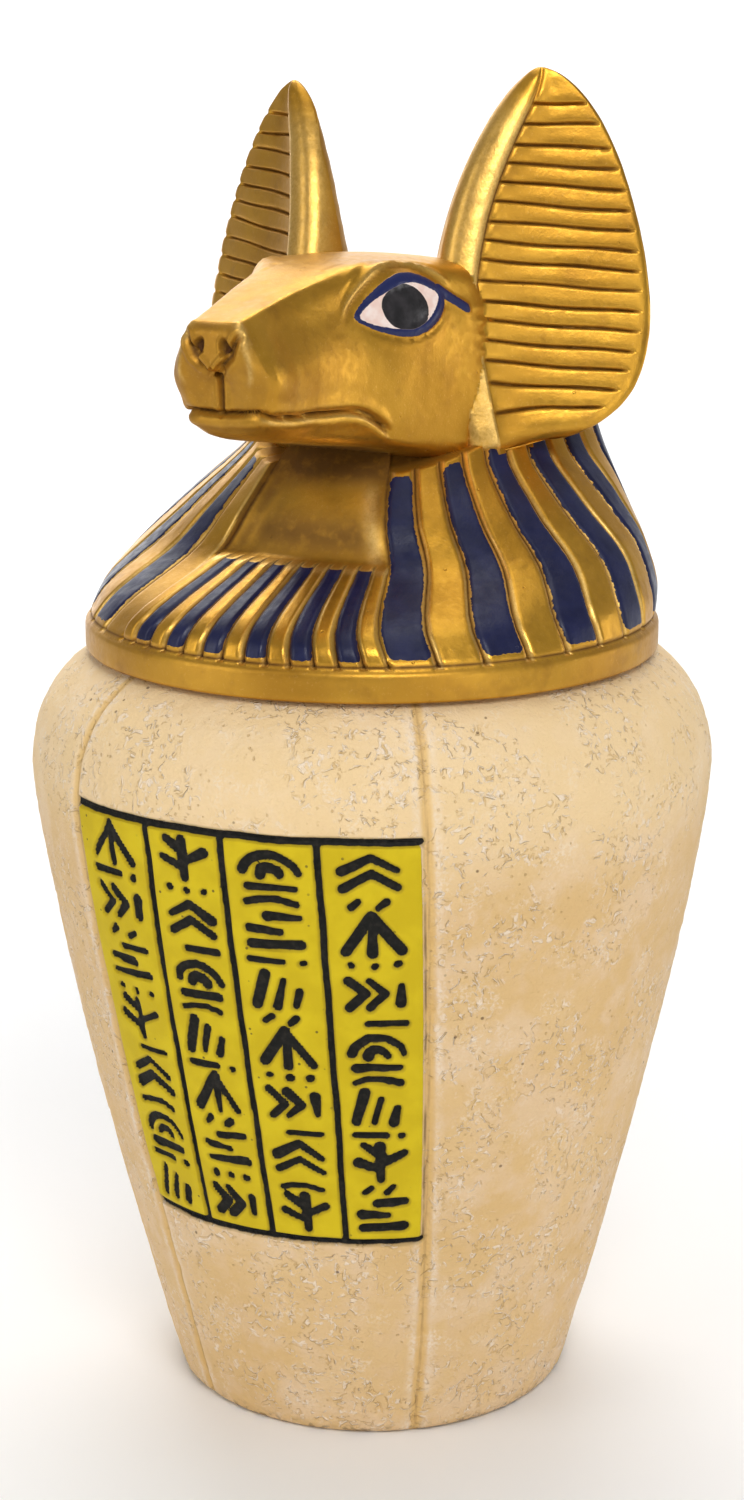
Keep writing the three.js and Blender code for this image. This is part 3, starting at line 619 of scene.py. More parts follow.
def jar_inside():
    """Profile of the hollow as (radius, height), from the top of the mouth down to the floor."""
    lip_bottom = JAR_HEIGHT - MOUTH_DEPTH
    under = SHOULDER_RADIUS - WALL - MOUTH_RADIUS
    profile = [(MOUTH_RADIUS + 0.5, JAR_HEIGHT), (MOUTH_RADIUS, JAR_HEIGHT - 0.5),
               (MOUTH_RADIUS, lip_bottom + 1)]
    for t in np.radians([90, 75, 60, 45, 30, 15]):
        profile.append((MOUTH_RADIUS + under * math.cos(t),
                        SHOULDER_HEIGHT + (lip_bottom - SHOULDER_HEIGHT) * math.sin(t)))
    for h in np.linspace(SHOULDER_HEIGHT, FLOOR + 1.5, 7):
        profile.append((float(jar_radius(h)) - WALL, h))
    profile.append((float(jar_radius(FLOOR)) - WALL - 1.5, FLOOR))
    return profile


def jar_piece():
    angles = np.concatenate([np.arange(-35.0, 35.01, 0.44), np.arange(36.4, 323.7, 1.75)])
    turns = np.radians(angles)
    heights = np.concatenate([
        [0.0, 0.25, 0.6, 1.1, 1.6, 2.2], np.arange(3.4, 45.5, 1.35), np.arange(46.0, 134.2, 0.48),
        np.arange(135.2, 152.0, 1.15), [152.6, 153.4, 154.0, 154.4, 154.7, 154.9, JAR_HEIGHT]])
    profile = [(float(jar_radius(z)), z) for z in heights] + jar_inside()
    rings = np.array([np.stack([r * np.sin(turns), -r * np.cos(turns), np.full(len(turns), z)], -1)
                      for r, z in profile])
    mesh = closed_mesh("jar_body_paint", rings, (0, 0, 0), (0, 0, FLOOR))
    p = coordinates(mesh)
    outside = np.arange(len(p)) < len(heights) * len(angles)
    angle = np.degrees(np.arctan2(p[:, 0], -p[:, 1]))
    height = p[:, 2]
    per_degree = math.radians(1) * jar_radius(height)
    left, right = column_edge(0, height), column_edge(len(COLUMN_EDGES) - 1, height)
    panel = np.minimum((angle - left) * per_degree, (right - angle) * per_degree)
    panel = rounded_inside(panel, np.minimum(height - PANEL_BOTTOM, PANEL_TOP - height), 1.6)
    seam = np.minimum(np.abs(angle - left + SEAM_GAP), np.abs(angle - right - SEAM_GAP)) * per_degree
    ink = ink_distance(angle, height)
    on_stone = smooth(-panel / 1.5)
    pits = smooth((noise(p + 17, 3.1) - 0.35) / 0.3) * on_stone
    top_fade = smooth((JAR_HEIGHT - 0.5 - height) / 3)
    groove = SEAM_DEPTH * np.clip(1 - seam / SEAM_HALF_WIDTH, 0, 1) ** 0.8
    lump = 0.22 * noise(p, 22) + 0.12 * noise(p + 40, 7)
    rough = 0.10 * noise(p, 2.6) + 0.06 * noise(p + 90, 1.3)
    depth = (groove * top_fade + STROKE_DEPTH * rise(ink, -0.25, 0.5) + 0.22 * pits
             - 0.12 * smooth(panel / 0.8) - lump - rough * on_stone)
    edge_fade = smooth(height / 1.5) * smooth((JAR_HEIGHT - height) / 1.5)
    displace(mesh, -depth * edge_fade * outside)
    # The last value stored is painted light, growing towards the top of the shoulder.
    add_values(mesh, {
        "ink": np.where(outside, ink, OUTSIDE), "panel": np.where(outside, panel, OUTSIDE),
        "seam": np.where(outside, seam, -OUTSIDE), "foot": drop(height, 3.0, 2.5) * outside,
        "top_light": rise(height, 116, 22) * outside})
    finish_piece(mesh, "jar_body_paint", (0, 0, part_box("jar_body")[0].z), 0, jar_paint(),
                 "jar_body", 55)


# ---- lid: rim band, spigot and hood ----

def rim_part():
    profile = [(SPIGOT_RADIUS - 1, -SPIGOT_DEPTH), (SPIGOT_RADIUS - 0.3, -SPIGOT_DEPTH + 0.3),
               (SPIGOT_RADIUS, -SPIGOT_DEPTH + 1), (SPIGOT_RADIUS, 0)]
    profile += [(RIM_RADIUS - inset, z) for inset, z in (
        (0.9, 0), (0.4, 0.12), (0.1, 0.4), (0, 0.8), (0, 1.8), (0, 2.9), (0, 4.0), (0, 4.9), (0.1, 5.4),
        (0.4, 5.85), (0.9, 6.2), (1.8, BAND_HEIGHT))]
    t = np.radians(np.arange(0, 360, 1.2))
    rings = np.array([[(r * math.sin(a), -r * math.cos(a), z) for a in t] for r, z in profile])
    mesh = closed_mesh("rim", rings, (0, 0, -SPIGOT_DEPTH), (0, 0, BAND_HEIGHT))
    p = coordinates(mesh)
    outer = (np.hypot(p[:, 0], p[:, 1]) > RIM_RADIUS - 2) & (p[:, 2] > 0.3)
    z = displace(mesh, 0.10 * noise(p, 9) * outer)[:, 2]
    # Painted shade under the hood's edge and along the band's foot, and a little over the whole band.
    shade_and_wash = 0.8 * rise(z, 6.0, 0.5) + 0.6 * drop(z, 0.6, 0.6)
    return mesh, {"shade_and_wash": np.maximum(shade_and_wash, 0.16)}


def hood_columns():
    front = np.linspace(0, COLLAR_BANDS, COLLAR_BANDS * 6 + 1)
    close = np.array([0.02, 0.05, 0.09, 0.14, 0.20, 0.27, 0.35, 0.44, 0.55, 0.66, 0.78, 0.9])
    near = np.arange(1, 20, 0.125)
    far = np.arange(20, LAPPET_BANDS + 0.01, 0.25)
    return front, np.concatenate([close, near, far])


def hood_tables(front, lappet):
    """For many heights: position, sideways normal and unit length of every column of the hood."""
    heights = np.arange(5.0, HOOD_TOP + 0.01, 0.5)
    levels = through(HOOD_LEVELS, heights)
    split = through(OPENING_WIDTH, heights)[:, 0]
    a = np.linspace(0, math.pi, 1441)
    table = []
    crowding = GATHER * np.clip((heights - BAND_HEIGHT) / (HEM_HEIGHT - BAND_HEIGHT), 0, 1)
    for (centre, half, ahead, behind, power), width, crowd in zip(levels, split, crowding):
        p = np.where(a < math.pi / 2, power, 2.0)
        x = np.abs(half * np.abs(np.sin(a)) ** (2 / p))
        c = np.abs(np.cos(a)) ** (2 / p)
        y = centre + np.where(a < math.pi / 2, -ahead, behind) * c
        length = np.concatenate([[0], np.cumsum(np.hypot(np.diff(x), np.diff(y)))])
        cut = int(np.argmax(x >= width))
        total = length[-1] - length[cut]
        share = lappet / LAPPET_BANDS
        along = np.concatenate([front / COLLAR_BANDS * length[cut],
                                length[cut] + share * (1 - crowd * (1 - share**2)) * total])
        dx, dy = (np.interp(along + 0.4, length, c) - np.interp(along - 0.4, length, c) for c in (x, y))
        size = np.hypot(dx, dy)
        unit = np.concatenate([np.full(len(front), length[cut] / COLLAR_BANDS),
                               total / LAPPET_BANDS * (1 - crowd + 3 * crowd * share**2)])
        table.append(np.stack([np.interp(along, length, x), np.interp(along, length, y),
                               dy / size, -dx / size, unit], -1))
    return heights, np.array(table)


def band_profile(d):
    """Height of a band above the hood at a distance from its nearest border."""
    return -GROOVE_DEPTH + (GROOVE_DEPTH + BAND_CROWN) * (1 - bell(d, 0.5))


def hood_part():
    front, lappet = hood_columns()
    nf = len(front)
    table_z, table = hood_tables(front, lappet)
    levels = np.concatenate([
        np.arange(5.5, 9.0, 0.4), np.arange(9.2, 19.0, 0.75), np.arange(19.0, 22.6, 0.3),
        np.arange(23.2, 36.0, 1.0), np.arange(36.2, 39.4, 0.3), np.arange(40.0, 46.5, 0.8),
        np.arange(47.5, 71.0, 1.8)])
    climb = np.interp(levels, [20.5, 29, 37.2, 46, 56], [0, 0.4, 1, 1, 0])
    u = np.concatenate([front, lappet])
    is_lappet = np.arange(len(u)) >= nf
    lifted = np.where(is_lappet, smooth(u / HEM_REACH), 0.0)
    z = levels[:, None] + climb[:, None] * HEM_RISE * lifted
    at = np.clip((z - table_z[0]) / (table_z[1] - table_z[0]), 0, len(table_z) - 1.001)
    k = at.astype(int)
    f = (at - k)[..., None]
    cols, uu, lap, level = (np.broadcast_to(values, z.shape)
                            for values in (np.arange(len(u)), u, is_lappet, levels[:, None]))
    row = table[k, cols] * (1 - f) + table[k + 1, cols] * f
    x, y, nx, ny, unit = np.moveaxis(row, -1, 0)

    # collar and neck
    band = np.round(uu / 2)
    border = np.minimum(uu - (2 * band - 1), (2 * band + 1) - uu) * unit
    swell = through(COLLAR_SWELL, z)[..., 0]
    collar = swell + band_profile(border) + 0.35 * bell(z - 20.2, 0.5)
    to_neck = smooth(z - COLLAR_TOP)
    to_corner = (COLLAR_BANDS - uu) * unit
    cove = NECK_COVE * np.clip(1 - to_corner / 5.0, 0, 1) ** 2
    front_offset = collar * (1 - to_neck) - (NECK_RECESS - cove) * to_neck
    # lappet and back, with a rolled inner edge
    start = (swell - GROOVE_DEPTH) * (1 - to_neck) - (NECK_RECESS - NECK_COVE) * to_neck
    band_l = np.floor(np.clip(uu, 0, LAPPET_BANDS - 1e-6) / 2)
    left, right = (uu - 2 * band_l) * unit, (2 * band_l + 2 - uu) * unit
    border_l = np.where(band_l == 0, right, np.minimum(left, right))
    hem = HEM_HEIGHT + HEM_RISE * smooth(uu / HEM_REACH)
    above_hem = smooth((z - hem) / 1.5) * (1 - rise(uu, 9, 3))
    plain = band_profile(border_l) * (1 - above_hem)
    roll = np.sqrt(1 - (1 - np.clip(uu * unit / EDGE_ROLL, 0, 1)) ** 2)
    over = smooth((z - hem) / 0.9) * (1 - rise(level, 46, 10))
    step = THROAT_STEP * (1 - rise(uu, 6, 6)) * over
    offset = np.where(lap, start + (plain - start) * roll - step, front_offset)
    offset = offset - 0.45 * bell(z - RIM_LINE, 0.35)
    px, py = x + offset * nx, y + offset * ny
    px[:, [0, -1]] = 0
    half = np.stack([px, py, z], -1)

    # paint: distance inside the blue bands; painted shade, with some dark wash, in the grooves; painted
    # highlights on their edges
    stripe_top = np.where(uu < HEM_REACH, hem, np.interp(uu, [HEM_REACH, 16], [HEM_HEIGHT + HEM_RISE, 60]))
    ends = np.minimum((z - 7.9) * 1.2, stripe_top - 0.7 - z)
    stripe = rounded_inside(border + 0.15, np.minimum(z - 7.7, COLLAR_STRIPE_TOP - z) * 1.3, 0.9)
    collar_blue = np.where(z < COLLAR_STRIPE_TOP,
                           np.where(band % 2 == 1, stripe, -border - BARE_MARGIN), OUTSIDE)

    def blue(first_blue, wide_left, wide_right):
        inside = rounded_inside(np.minimum(left - wide_left, right - wide_right), ends, 1.3)
        stripes = np.where(band_l % 2 == first_blue, inside, -border_l - BARE_MARGIN)
        return np.where(lap, np.minimum(stripes, stripe_top - z), collar_blue)

    edge = np.where(lap, border_l, border)
    striped = np.where(lap, z < stripe_top, z < 21.0)
    # Painted shade in the throat above the hem.
    throat = smooth((z - hem + 0.3) / 1.2) * (1 - rise(uu, 8, 6)) * lap
    on_neck = rise(z, 20.9, 0.5) * ~lap
    # Painted shade on the neck: under the jaw and in its middle.
    neck_shade = 0.85 * rise(z, 32, 5) + 0.75 * bell(z - 25.5, 5) * smooth(to_corner / 7)
    # Painted shade, with some wash in the grooves: grooves, the line above the rim, the lappets' inner
    # edges, the throat, the neck's corners and the neck.
    shade_and_wash = strongest(
        bell(edge, 0.26) * striped, 0.9 * bell(z - RIM_LINE, 0.3),
        0.7 * (lap & (uu * unit < 0.45) & (z > 20.8)), 0.75 * throat,
        0.9 * bell(to_corner, 0.7) * on_neck, neck_shade * on_neck)
    # The far side's neck gets more painted shade than the near side's.
    shade_and_wash_far = np.maximum(shade_and_wash, 0.6 * bell(to_corner - 2.5, 2.2) * on_neck)
    # Painted highlights: the grooves' edges, the collar's top edge and the lappets' rolled inner edges.
    painted_highlight = strongest(
        0.85 * bell(edge - 0.5, 0.16) * striped, 0.9 * (~lap) * bell(z - 20.4, 0.35),
        0.7 * lap * bell(uu * unit - 0.8, 0.3) * (z > 8) * (z < hem))
    # The near side's neck gets a painted highlight by its corner.
    painted_highlight_near = np.maximum(painted_highlight, 0.8 * bell(to_corner - 3.0, 1.6) * on_neck * drop(z, 36, 4))
    mesh = closed_mesh("hood", mirrored(half, half * (-1, 1, 1)), (0, 0, levels[0]), (0, 24, HOOD_TOP))
    p = coordinates(mesh)
    shown = (p[:, 2] > 6.6) & (p[:, 2] < 60)
    displace(mesh, (0.07 * noise(p, 9) + 0.05 * noise(p, 2.2)) * shown)
    return mesh, {"blue": per_vertex(blue(0, 0.4, 0.7), blue(1, 0.7, 0.4), OUTSIDE),
                  "shade_and_wash": per_vertex(shade_and_wash, shade_and_wash_far), "painted_highlight": per_vertex(painted_highlight_near, painted_highlight)}


# ---- lid: head ----

def head_point(y, v):
    """Half width and height on the head; v runs from the crown at 0 down the side to the throat at 6."""
    row = through(HEAD_SECTIONS, y)
    zero = row[..., :1] * 0
    xs = np.concatenate([-row[..., 1:2], zero, row[..., 1:10:2], zero, -row[..., 9:10]], -1)
    zs = row[..., [2, 0, 2, 4, 6, 8, 10, 11, 10]]
    i = np.minimum(v.astype(int), 5)
    s = v - i

    def spline(values):
        a, b, c, d = (np.take_along_axis(values, (i + n)[..., None], -1)[..., 0] for n in range(4))
        return 0.5 * (2 * b + (c - a) * s + (2 * a - 5 * b + 4 * c - d) * s**2
                      + (3 * b - a - 3 * c + d) * s**3)
    return spline(xs), spline(zs)


def lid_curves():
    """Upper and lower edge of the painted eye seen from the side, as (y, z) points, front to back."""
    t = np.linspace(0, 1, 25)
    y, middle = EYE_FRONT + (EYE_BACK - EYE_FRONT) * t, EYE_LEVEL + 3 * t
    up = 5.8 * np.maximum(np.sin(math.pi * t**1.1), 0) ** 0.75
    down = 6.2 * np.maximum(np.sin(math.pi * t**1.35), 0) ** 0.58
    return list(zip(y, middle + up)), list(zip(y, middle - down))


def eye_values(y, z, off):
    """Distances inside the blue outline, the white and the iris, and above the upper edge."""
    top, bottom = lid_curves()
    below_top, above_bottom = -curve_distance(y, z, top), curve_distance(y, z, bottom)
    t = np.clip((y - EYE_FRONT) / (EYE_BACK - EYE_FRONT), 0, 1)
    inside = (y > EYE_FRONT) & (y < EYE_BACK)
    navy = np.minimum(below_top, above_bottom)
    navy = np.where(inside, navy, -np.minimum(np.abs(below_top), np.abs(above_bottom)))
    tail, along = segment_distance(y, z, (EYE_BACK - 1.5, 71.5), (-1.9, 67.4))
    navy = np.maximum(navy, 1.05 - 0.1 * along - tail)
    thick_up = 0.9 + 1.0 * smooth(t / 0.5) - 0.3 * rise(t, 0.75, 0.25)
    thick_down = 0.6 + 0.7 * smooth(t / 0.5) + 0.8 * rise(t, 0.5, 0.35)
    white = np.minimum(below_top - thick_up, above_bottom - thick_down)
    white = np.where(inside, np.minimum(white, EYE_BACK - 1.2 - y), OUTSIDE)
    iris = IRIS_RADIUS - np.hypot((y - IRIS_Y) * 0.84, z - IRIS_Z)
    fold = curve_distance(y, z, [(EYE_FRONT - 3.0, 64.2)] + top[1:] + [(-2.5, 69.0)])
    return (np.where(off, OUTSIDE, v) for v in (navy, white, iris, fold))


def head_part():
    spans = [(0, 14), (1, 14), (2, 15), (3, 17), (4, 12)]
    v = np.concatenate([np.arange(n) / n + a for a, n in spans]
                       + [[5, 5.15, 5.3, 5.45, 5.58, 5.7, 5.8, 5.88, 5.94, 6]])
    stations = np.concatenate([
        np.arange(-59.7, -50, 0.45), np.arange(-50, -32, 0.65), np.arange(-32, -3.5, 0.48),
        np.arange(-3.2, 8, 0.8), np.arange(9, 27.1, 2.0)])
    dome = [[0, -62.05], [0.34, -62.02], [0.55, -61.95], [0.68, -61.89], [0.79, -61.78], [0.84, -61.68],
            [0.885, -61.5], [0.92, -61.28], [0.95, -61.0], [0.975, -60.65], [0.99, -60.3], [1.0, -60.0]]
    cap_scale = np.concatenate([np.arange(0.06, 0.44, 0.06), np.arange(0.45, 0.87, 0.03),
                                [0.89, 0.92, 0.95, 0.975, 0.99, 1.0]])
    cap = np.stack([cap_scale, through(dome, cap_scale)[:, 0]], -1)
    scale = np.concatenate([cap[:, 0], np.ones(len(stations))])
    at_y = np.concatenate([cap[:, 1], stations])
    yy, vv = np.meshgrid(at_y, v, indexing="ij")
    x, z = head_point(np.maximum(yy, -61.4), vv)
    s = scale[:, None]
    lean = np.maximum(0, 66 - z) * FACE_LEAN * np.clip(1 - (yy + 61.2) / 30, 0, 1.03)
    jaw = JAW_DROP * rise(yy, -22, 22) * drop(z, 54, 12)
    half = np.stack([np.maximum(x * s, 0), yy + lean, 61 + (z - 61) * s - jaw], -1)
    half[:, [0, -1], 0] = 0
    mesh = closed_mesh("head", mirrored(half, half * (-1, 1, 1)), (0, -61.02, 61), (0, 29, 61))
    p = coordinates(mesh)
    n = vertex_normals(mesh)

    def spread(values):
        values = np.broadcast_to(values, down.shape)
        return per_vertex(values, values)

    lengths = np.hypot(np.diff(half[..., 0], axis=1), np.diff(half[..., 2], axis=1))
    down = np.concatenate([np.zeros((len(at_y), 1)), np.cumsum(lengths, 1)], 1)
    index_of = {k: int(np.argmin(np.abs(v - k))) for k in (1, 2, 4)}
    mouth = spread(down - down[:, index_of[4]][:, None])
    ridge = spread(down - down[:, index_of[1]][:, None])
    unrolled = spread((half[..., 2] + down)[:, index_of[2]][:, None] - down)
    station = spread(at_y[:, None])
    vpos = spread(v)
    ax = np.abs(p[:, 0])
    y, z = p[:, 1], p[:, 2]
    facing = smooth((-n[:, 1] - 0.35) / 0.4) * (y < -55)
    side = 1 - facing

    # mouth line along the sides and across the front
    lower = through([[-62, 1.7], [-58, 1.5], [-52, 1.2], [-44, 0.7], [-36, 0.6], [-28, 0.3], [-24, 0.6],
                     [-20.5, 1.7]], station)[:, 0]
    mouth = mouth - lower
    along = smooth((MOUTH_END + 1.8 - station) / 3.0) * side
    mouth_width = 0.38 + 0.25 * rise(station, -34, 10)
    shift = -1.25 * bell(mouth, mouth_width) * along
    shift += 0.45 * bell(mouth + 1.5, 1.2) * along + 0.50 * bell(mouth - 1.7, 1.2) * along
    front_mouth = z - (MOUTH_FRONT - 0.3 * bell(ax, 1.2))
    on_front = facing * (ax < MOUTH_HALF_WIDTH)
    shift += (-1.5 * bell(front_mouth, 0.48) + 0.8 * bell(front_mouth + 1.7, 1.2)) * on_front
    # lip cleft, nostrils and the nose's outline
    cleft = path_distance(ax, z, NOSE_OUTLINE)
    shift += (-1.0 * bell(cleft, 0.55) + 0.35 * bell(cleft - 1.2, 0.6)) * facing
    pit = np.hypot((ax - 2.75 - 0.25 * (64.6 - z)) / 1.3, (z - 64.6) / 2.05)
    hook = path_distance(ax, z, NOSTRIL_WING)
    shift += (-1.7 * (1 - rise(pit, 0.45, 0.65)) - 0.5 * bell(hook, 0.42)) * facing
    # crisp edges: the flat bridge of the nose and the front rim of the muzzle
    shift += 0.30 * bell(ridge, 0.9) * drop(y, -26, 16) * side
    inward = np.where(scale < 1, (1 - scale) * 9, -60 - at_y)
    rim = spread(inward[:, None]) - np.interp(vpos, [1, 2, 3, 3.5], [0, 0.5, 1.6, 2])
    rim_fade = rise(vpos, 0.7, 0.5) * drop(vpos, 3.7, 0.7)
    shift += 0.32 * bell(rim, 0.75) * rim_fade
    # eye: raised outline, bulging ball, folds of the brow and under the eye
    navy, white, iris, fold = eye_values(y, unrolled, ax < 6)
    on_side = (ax > 6) * (y > -38) * (y < 1)
    shift += (0.65 * rise(navy, -0.2, 0.6) - 0.5 * rise(white, -0.1, 0.5)) * on_side
    shift += 0.8 * bell(np.hypot((y + 21) / 9, (unrolled - 77) / 3), 1.0) * on_side
    ball = np.clip(1 - ((y + 17) / 10) ** 2 - ((unrolled - 68.8) / 5.5) ** 2, 0, 1)
    shift += 1.1 * ball * on_side
    fold_fade = rise(y, -33.5, 4) * drop(y, -4, 6) * on_side
    shift += (-0.40 * bell(fold - 1.4, 0.5) + 0.45 * bell(fold - 2.4, 0.8)
              - 0.22 * bell(fold - 3.7, 0.5) + 0.15 * bell(fold - 4.7, 0.8)) * fold_fade
    under_fade = rise(y, -30, 6) * drop(y, -5, 6) * on_side
    shift += 0.35 * bell(navy + 1.6, 0.9) * (unrolled < 68) * under_fade
    # scallops on the cheek's back edge
    comb = rise(y, -0.5, 2.5) * rise(z, 47, 3) * drop(z, 69, 3) * (ax > 15)
    shift += 0.22 * np.sin(z * 2 * math.pi / 2.9) * comb
    shift += 0.12 * noise(p, 11) * (y < 10) + 0.04 * noise(p, 2.4)
    displace(mesh, shift)

    # Painted shade, with some dark wash in the hollows: the mouth line, lip cleft, nostrils and brow fold,
    # the front of the muzzle and under the jaw.
    shade_and_wash = strongest(
        0.9 * bell(mouth + 0.1, mouth_width * 0.7) * along, bell(front_mouth, 0.36) * on_front,
        0.9 * bell(cleft, 0.42) * facing, (1 - rise(pit, 0.5, 0.5)) * facing,
        0.9 * bell(hook, 0.32) * facing, 0.5 * bell(fold - 1.4, 0.35) * fold_fade, 0.3 * facing,
        0.8 * rise(vpos, 5.0, 0.5) * (station > -45))
    # Painted highlights on the brow fold, the muzzle's rim and the lower lip.
    painted_highlight = strongest(0.6 * bell(fold - 2.3, 0.45) * fold_fade, 0.6 * bell(rim, 0.4) * rim_fade,
                       0.5 * bell(mouth - 0.9, 0.3) * along)
    return mesh, {"navy": navy, "white": white, "iris": iris, "shade_and_wash": shade_and_wash, "painted_highlight": painted_highlight}


# ---- lid: ears ----

def ear_edge(h, outer):
    if h <= EAR_WAIST:
        t = min(1.0, (EAR_WAIST - h) / (EAR_WAIST - EAR_BOTTOM))
        if not outer:
            return EAR_HALF_WIDTH * (1 - 0.25 * t**2)
        power = 2.1
    else:
        t = min(1.0, (h - EAR_WAIST) / (EAR_TOP - EAR_WAIST))
        power = 1.8 if outer else 1.55
    return EAR_HALF_WIDTH * max(1 - t**power, 0) ** (1 / power)


def ear_rows():
    """Heights of the ear's rings: close together at each groove between ribs and at both ends."""
    near_groove = np.array([-1.94, -1.3, -0.75, -0.45, -0.27, -0.13, 0, 0.13, 0.27, 0.45, 0.75, 1.3])
    grooves = FIRST_RIB - RIB_PITCH * np.arange(RIB_COUNT)[::-1]
    bottom = EAR_BOTTOM + np.array([0.15, 0.5, 1.0, 1.7, 2.5, 3.4])
    top = EAR_TOP - np.array([5.0, 4.2, 3.5, 2.8, 2.2, 1.7, 1.2, 0.8, 0.5, 0.25, 0.1])
    middle = (grooves[:, None] + near_groove).ravel()
    return np.concatenate([bottom, middle[middle > EAR_BOTTOM + 3.6], top])


def ear_ring(h, side, grooves):
    """One section of the ear as (across, depth) points, with the painted shade and painted highlight of
    each.
    """
    ridge_cols = np.array([0, 0.06, 0.14, 0.24, 0.36, 0.5, 0.64, 0.78, 0.9, 0.97])
    face_cols = np.array([0.0, 0.012, 0.03, 0.06, 0.11, 0.18, 0.25, 0.32, 0.39, 0.46, 0.53, 0.6, 0.67,
                          0.74, 0.8, 0.86, 0.91, 0.95, 0.98, 1.0])
    lip_cols = np.array([0.3, 0.6, 0.85, 1.0])
    back_cols = np.linspace(0, 1, 21)[1:]
    inner, outer = EAR_CENTRE - ear_edge(h, False), EAR_CENTRE + ear_edge(h, True)
    if side < 0:
        notch = sum(float(bell(h - middle, 0.55)) for middle, *_ in grooves)
        outer -= 0.8 * notch * float(rise(h, -4, 10))
    width = outer - inner
    ridge = (RIDGE_WIDTH**-4 + max(0.42 * width, 0.01) ** -4) ** -0.25
    lip = min(0.8 + 0.05 * max(0, 30 - h), 0.15 * width)
    fade = min(1, width / 12, (h - EAR_BOTTOM + 4) / 12)
    fuller = 0.04 * (EAR_TOP - h) if side < 0 else 0
    thick = min(0.45 * (EAR_TOP - h) + 0.6 + fuller, EAR_DEPTH) * fade
    under = min(max((EAR_BOTTOM + BOTTOM_ROUNDING - h) / BOTTOM_ROUNDING, 0), 1)
    rounding = BOTTOM_ROUNDING * (1 - math.sqrt(1 - under**2))
    span = width - ridge - lip
    k = min(1, ridge / 6)
    crown = 0.8 * float(smooth(h / 12))
    knots = [[0, 3.2 * k], [0.12, 1.35 * k], [0.3, 0.2], [0.55, -0.5 * crown], [0.8, -0.8 * crown],
             [0.93, -0.55 * crown], [1, 0.1]]
    a_ridge = inner + ridge_cols * ridge
    d_ridge = through(knots, ridge_cols)[:, 0] + rounding * smooth(ridge_cols / 0.3)
    a_face = inner + ridge + face_cols * span
    hollow = EAR_HOLLOW * face_cols * (1 - face_cols) ** 2.2 * min(1, span / 20)
    carved, line = np.zeros(len(face_cols)), np.zeros(len(face_cols))
    for middle, slope, power, phase in grooves:
        d = h - middle - slope * (a_face - EAR_CENTRE) - 0.14 * np.sin(a_face / 3.6 + phase)
        carved += RIB_DEPTH * power * bell(d, 0.26) + 0.12 * bell(d - 0.6, 0.5)
        line = np.maximum(line, bell(d, 0.24))
    ends = smooth(face_cols * span / 0.6) * smooth((1 - face_cols) * span / 1.5)
    high = float(rise(h, 6, 8))
    slot = 0.5 * bell(face_cols * span, 0.5) * high
    d_face = 0.35 + hollow + carved * ends + slot + rounding
    a_lip, d_lip = outer - lip + lip_cols * lip, 0.45 + 0.75 * lip_cols**3 + rounding
    angle = (1 - back_cols) * math.pi
    a_back = inner + width * (1 - np.cos(angle)) / 2
    d_back = 2 + thick * np.sin(angle) ** 0.8 * (0.6 + 0.4 * back_cols)
    d_back = np.maximum(d_back, rise(back_cols, 0.8, 0.2) * max(thick * 0.55, 3.4 * k))
    top = float(smooth((EAR_TOP - 3.0 - h) / 9))
    # Painted shade, with some wash, along the rib grooves and beside the ridge; painted shade over the
    # back.
    shade_and_wash_face = np.maximum(0.07 + 0.8 * line * ends, 0.9 * bell(face_cols * span, 0.3) * high) * top
    shade_and_wash = np.concatenate([0.9 * bell((1 - ridge_cols) * ridge, 0.3) * high * top, shade_and_wash_face,
                           np.zeros(len(lip_cols)), np.full(len(back_cols), BACK_SHADE)])
    # Painted highlight along the ridge.
    painted_highlight = np.zeros(len(shade_and_wash))
    painted_highlight[:len(ridge_cols)] = (0.42 + 0.35 * bell((0.85 - ridge_cols) * ridge, 0.6)) * top
    tip = clip_root((EAR_TOP - h) / 3.0)
    depth = 1 + (np.concatenate([d_ridge, d_face, d_lip, d_back]) - 1) * tip
    across = np.concatenate([a_ridge, a_face, a_lip, a_back])
    return across, depth, shade_and_wash, painted_highlight


def ear_part(side):
    limits = ((-0.010, 0.006), (0.8, 1.15), (0, 2 * math.pi), (-0.22, 0.22))
    slopes, strength, phase, drift = (rng.uniform(*ends, RIB_COUNT) for ends in limits)
    middles = FIRST_RIB - RIB_PITCH * np.arange(RIB_COUNT) + drift
    grooves = list(zip(middles, slopes, strength, phase))
    rows = ear_rows()
    across, depth, shade_and_wash, painted_highlight = np.array([ear_ring(h, side, grooves) for h in rows]).transpose(1, 0, 2)
    height = rows[:, None] + 0 * across
    sag = NEAR_EAR_SAG if side > 0 else FAR_EAR_SAG
    sag = sag * smooth((height - EAR_BOTTOM) / 12) * smooth((EAR_TOP - height) / 30)
    height = height + sag * (across - EAR_CENTRE)
    height = height - JAW_DROP * drop(height, -4, 12) * drop(across, 6, 16)
    local = np.stack([across, depth, height], -1)
    cy, sy, ct, st = math.cos(EAR_YAW), math.sin(EAR_YAW), math.cos(EAR_TILT), math.sin(EAR_TILT)
    outward, facing = np.array([cy, sy, 0]), np.array([sy * ct, -cy * ct, st])
    up = np.array([-sy * st, cy * st, ct])

    def place(q):
        p = np.array(EAR_ROOT) + q[..., 0:1] * outward - q[..., 1:2] * facing + q[..., 2:3] * up
        return p * (side, 1, 1) - (0, 0, EAR_DROP if side < 0 else 0)

    ends = place(np.array([[EAR_CENTRE, 3.0, EAR_BOTTOM], [EAR_CENTRE, 1.0, EAR_TOP]]))
    mesh = closed_mesh("ear", place(local), *ends)
    p = coordinates(mesh)
    displace(mesh, 0.10 * noise(p, 9) + 0.05 * noise(p, 2.5))
    return mesh, {"shade_and_wash": np.append(shade_and_wash, [0, 0]), "painted_highlight": np.append(painted_highlight, [0, 0])}


# ---- lid: all parts fused ----

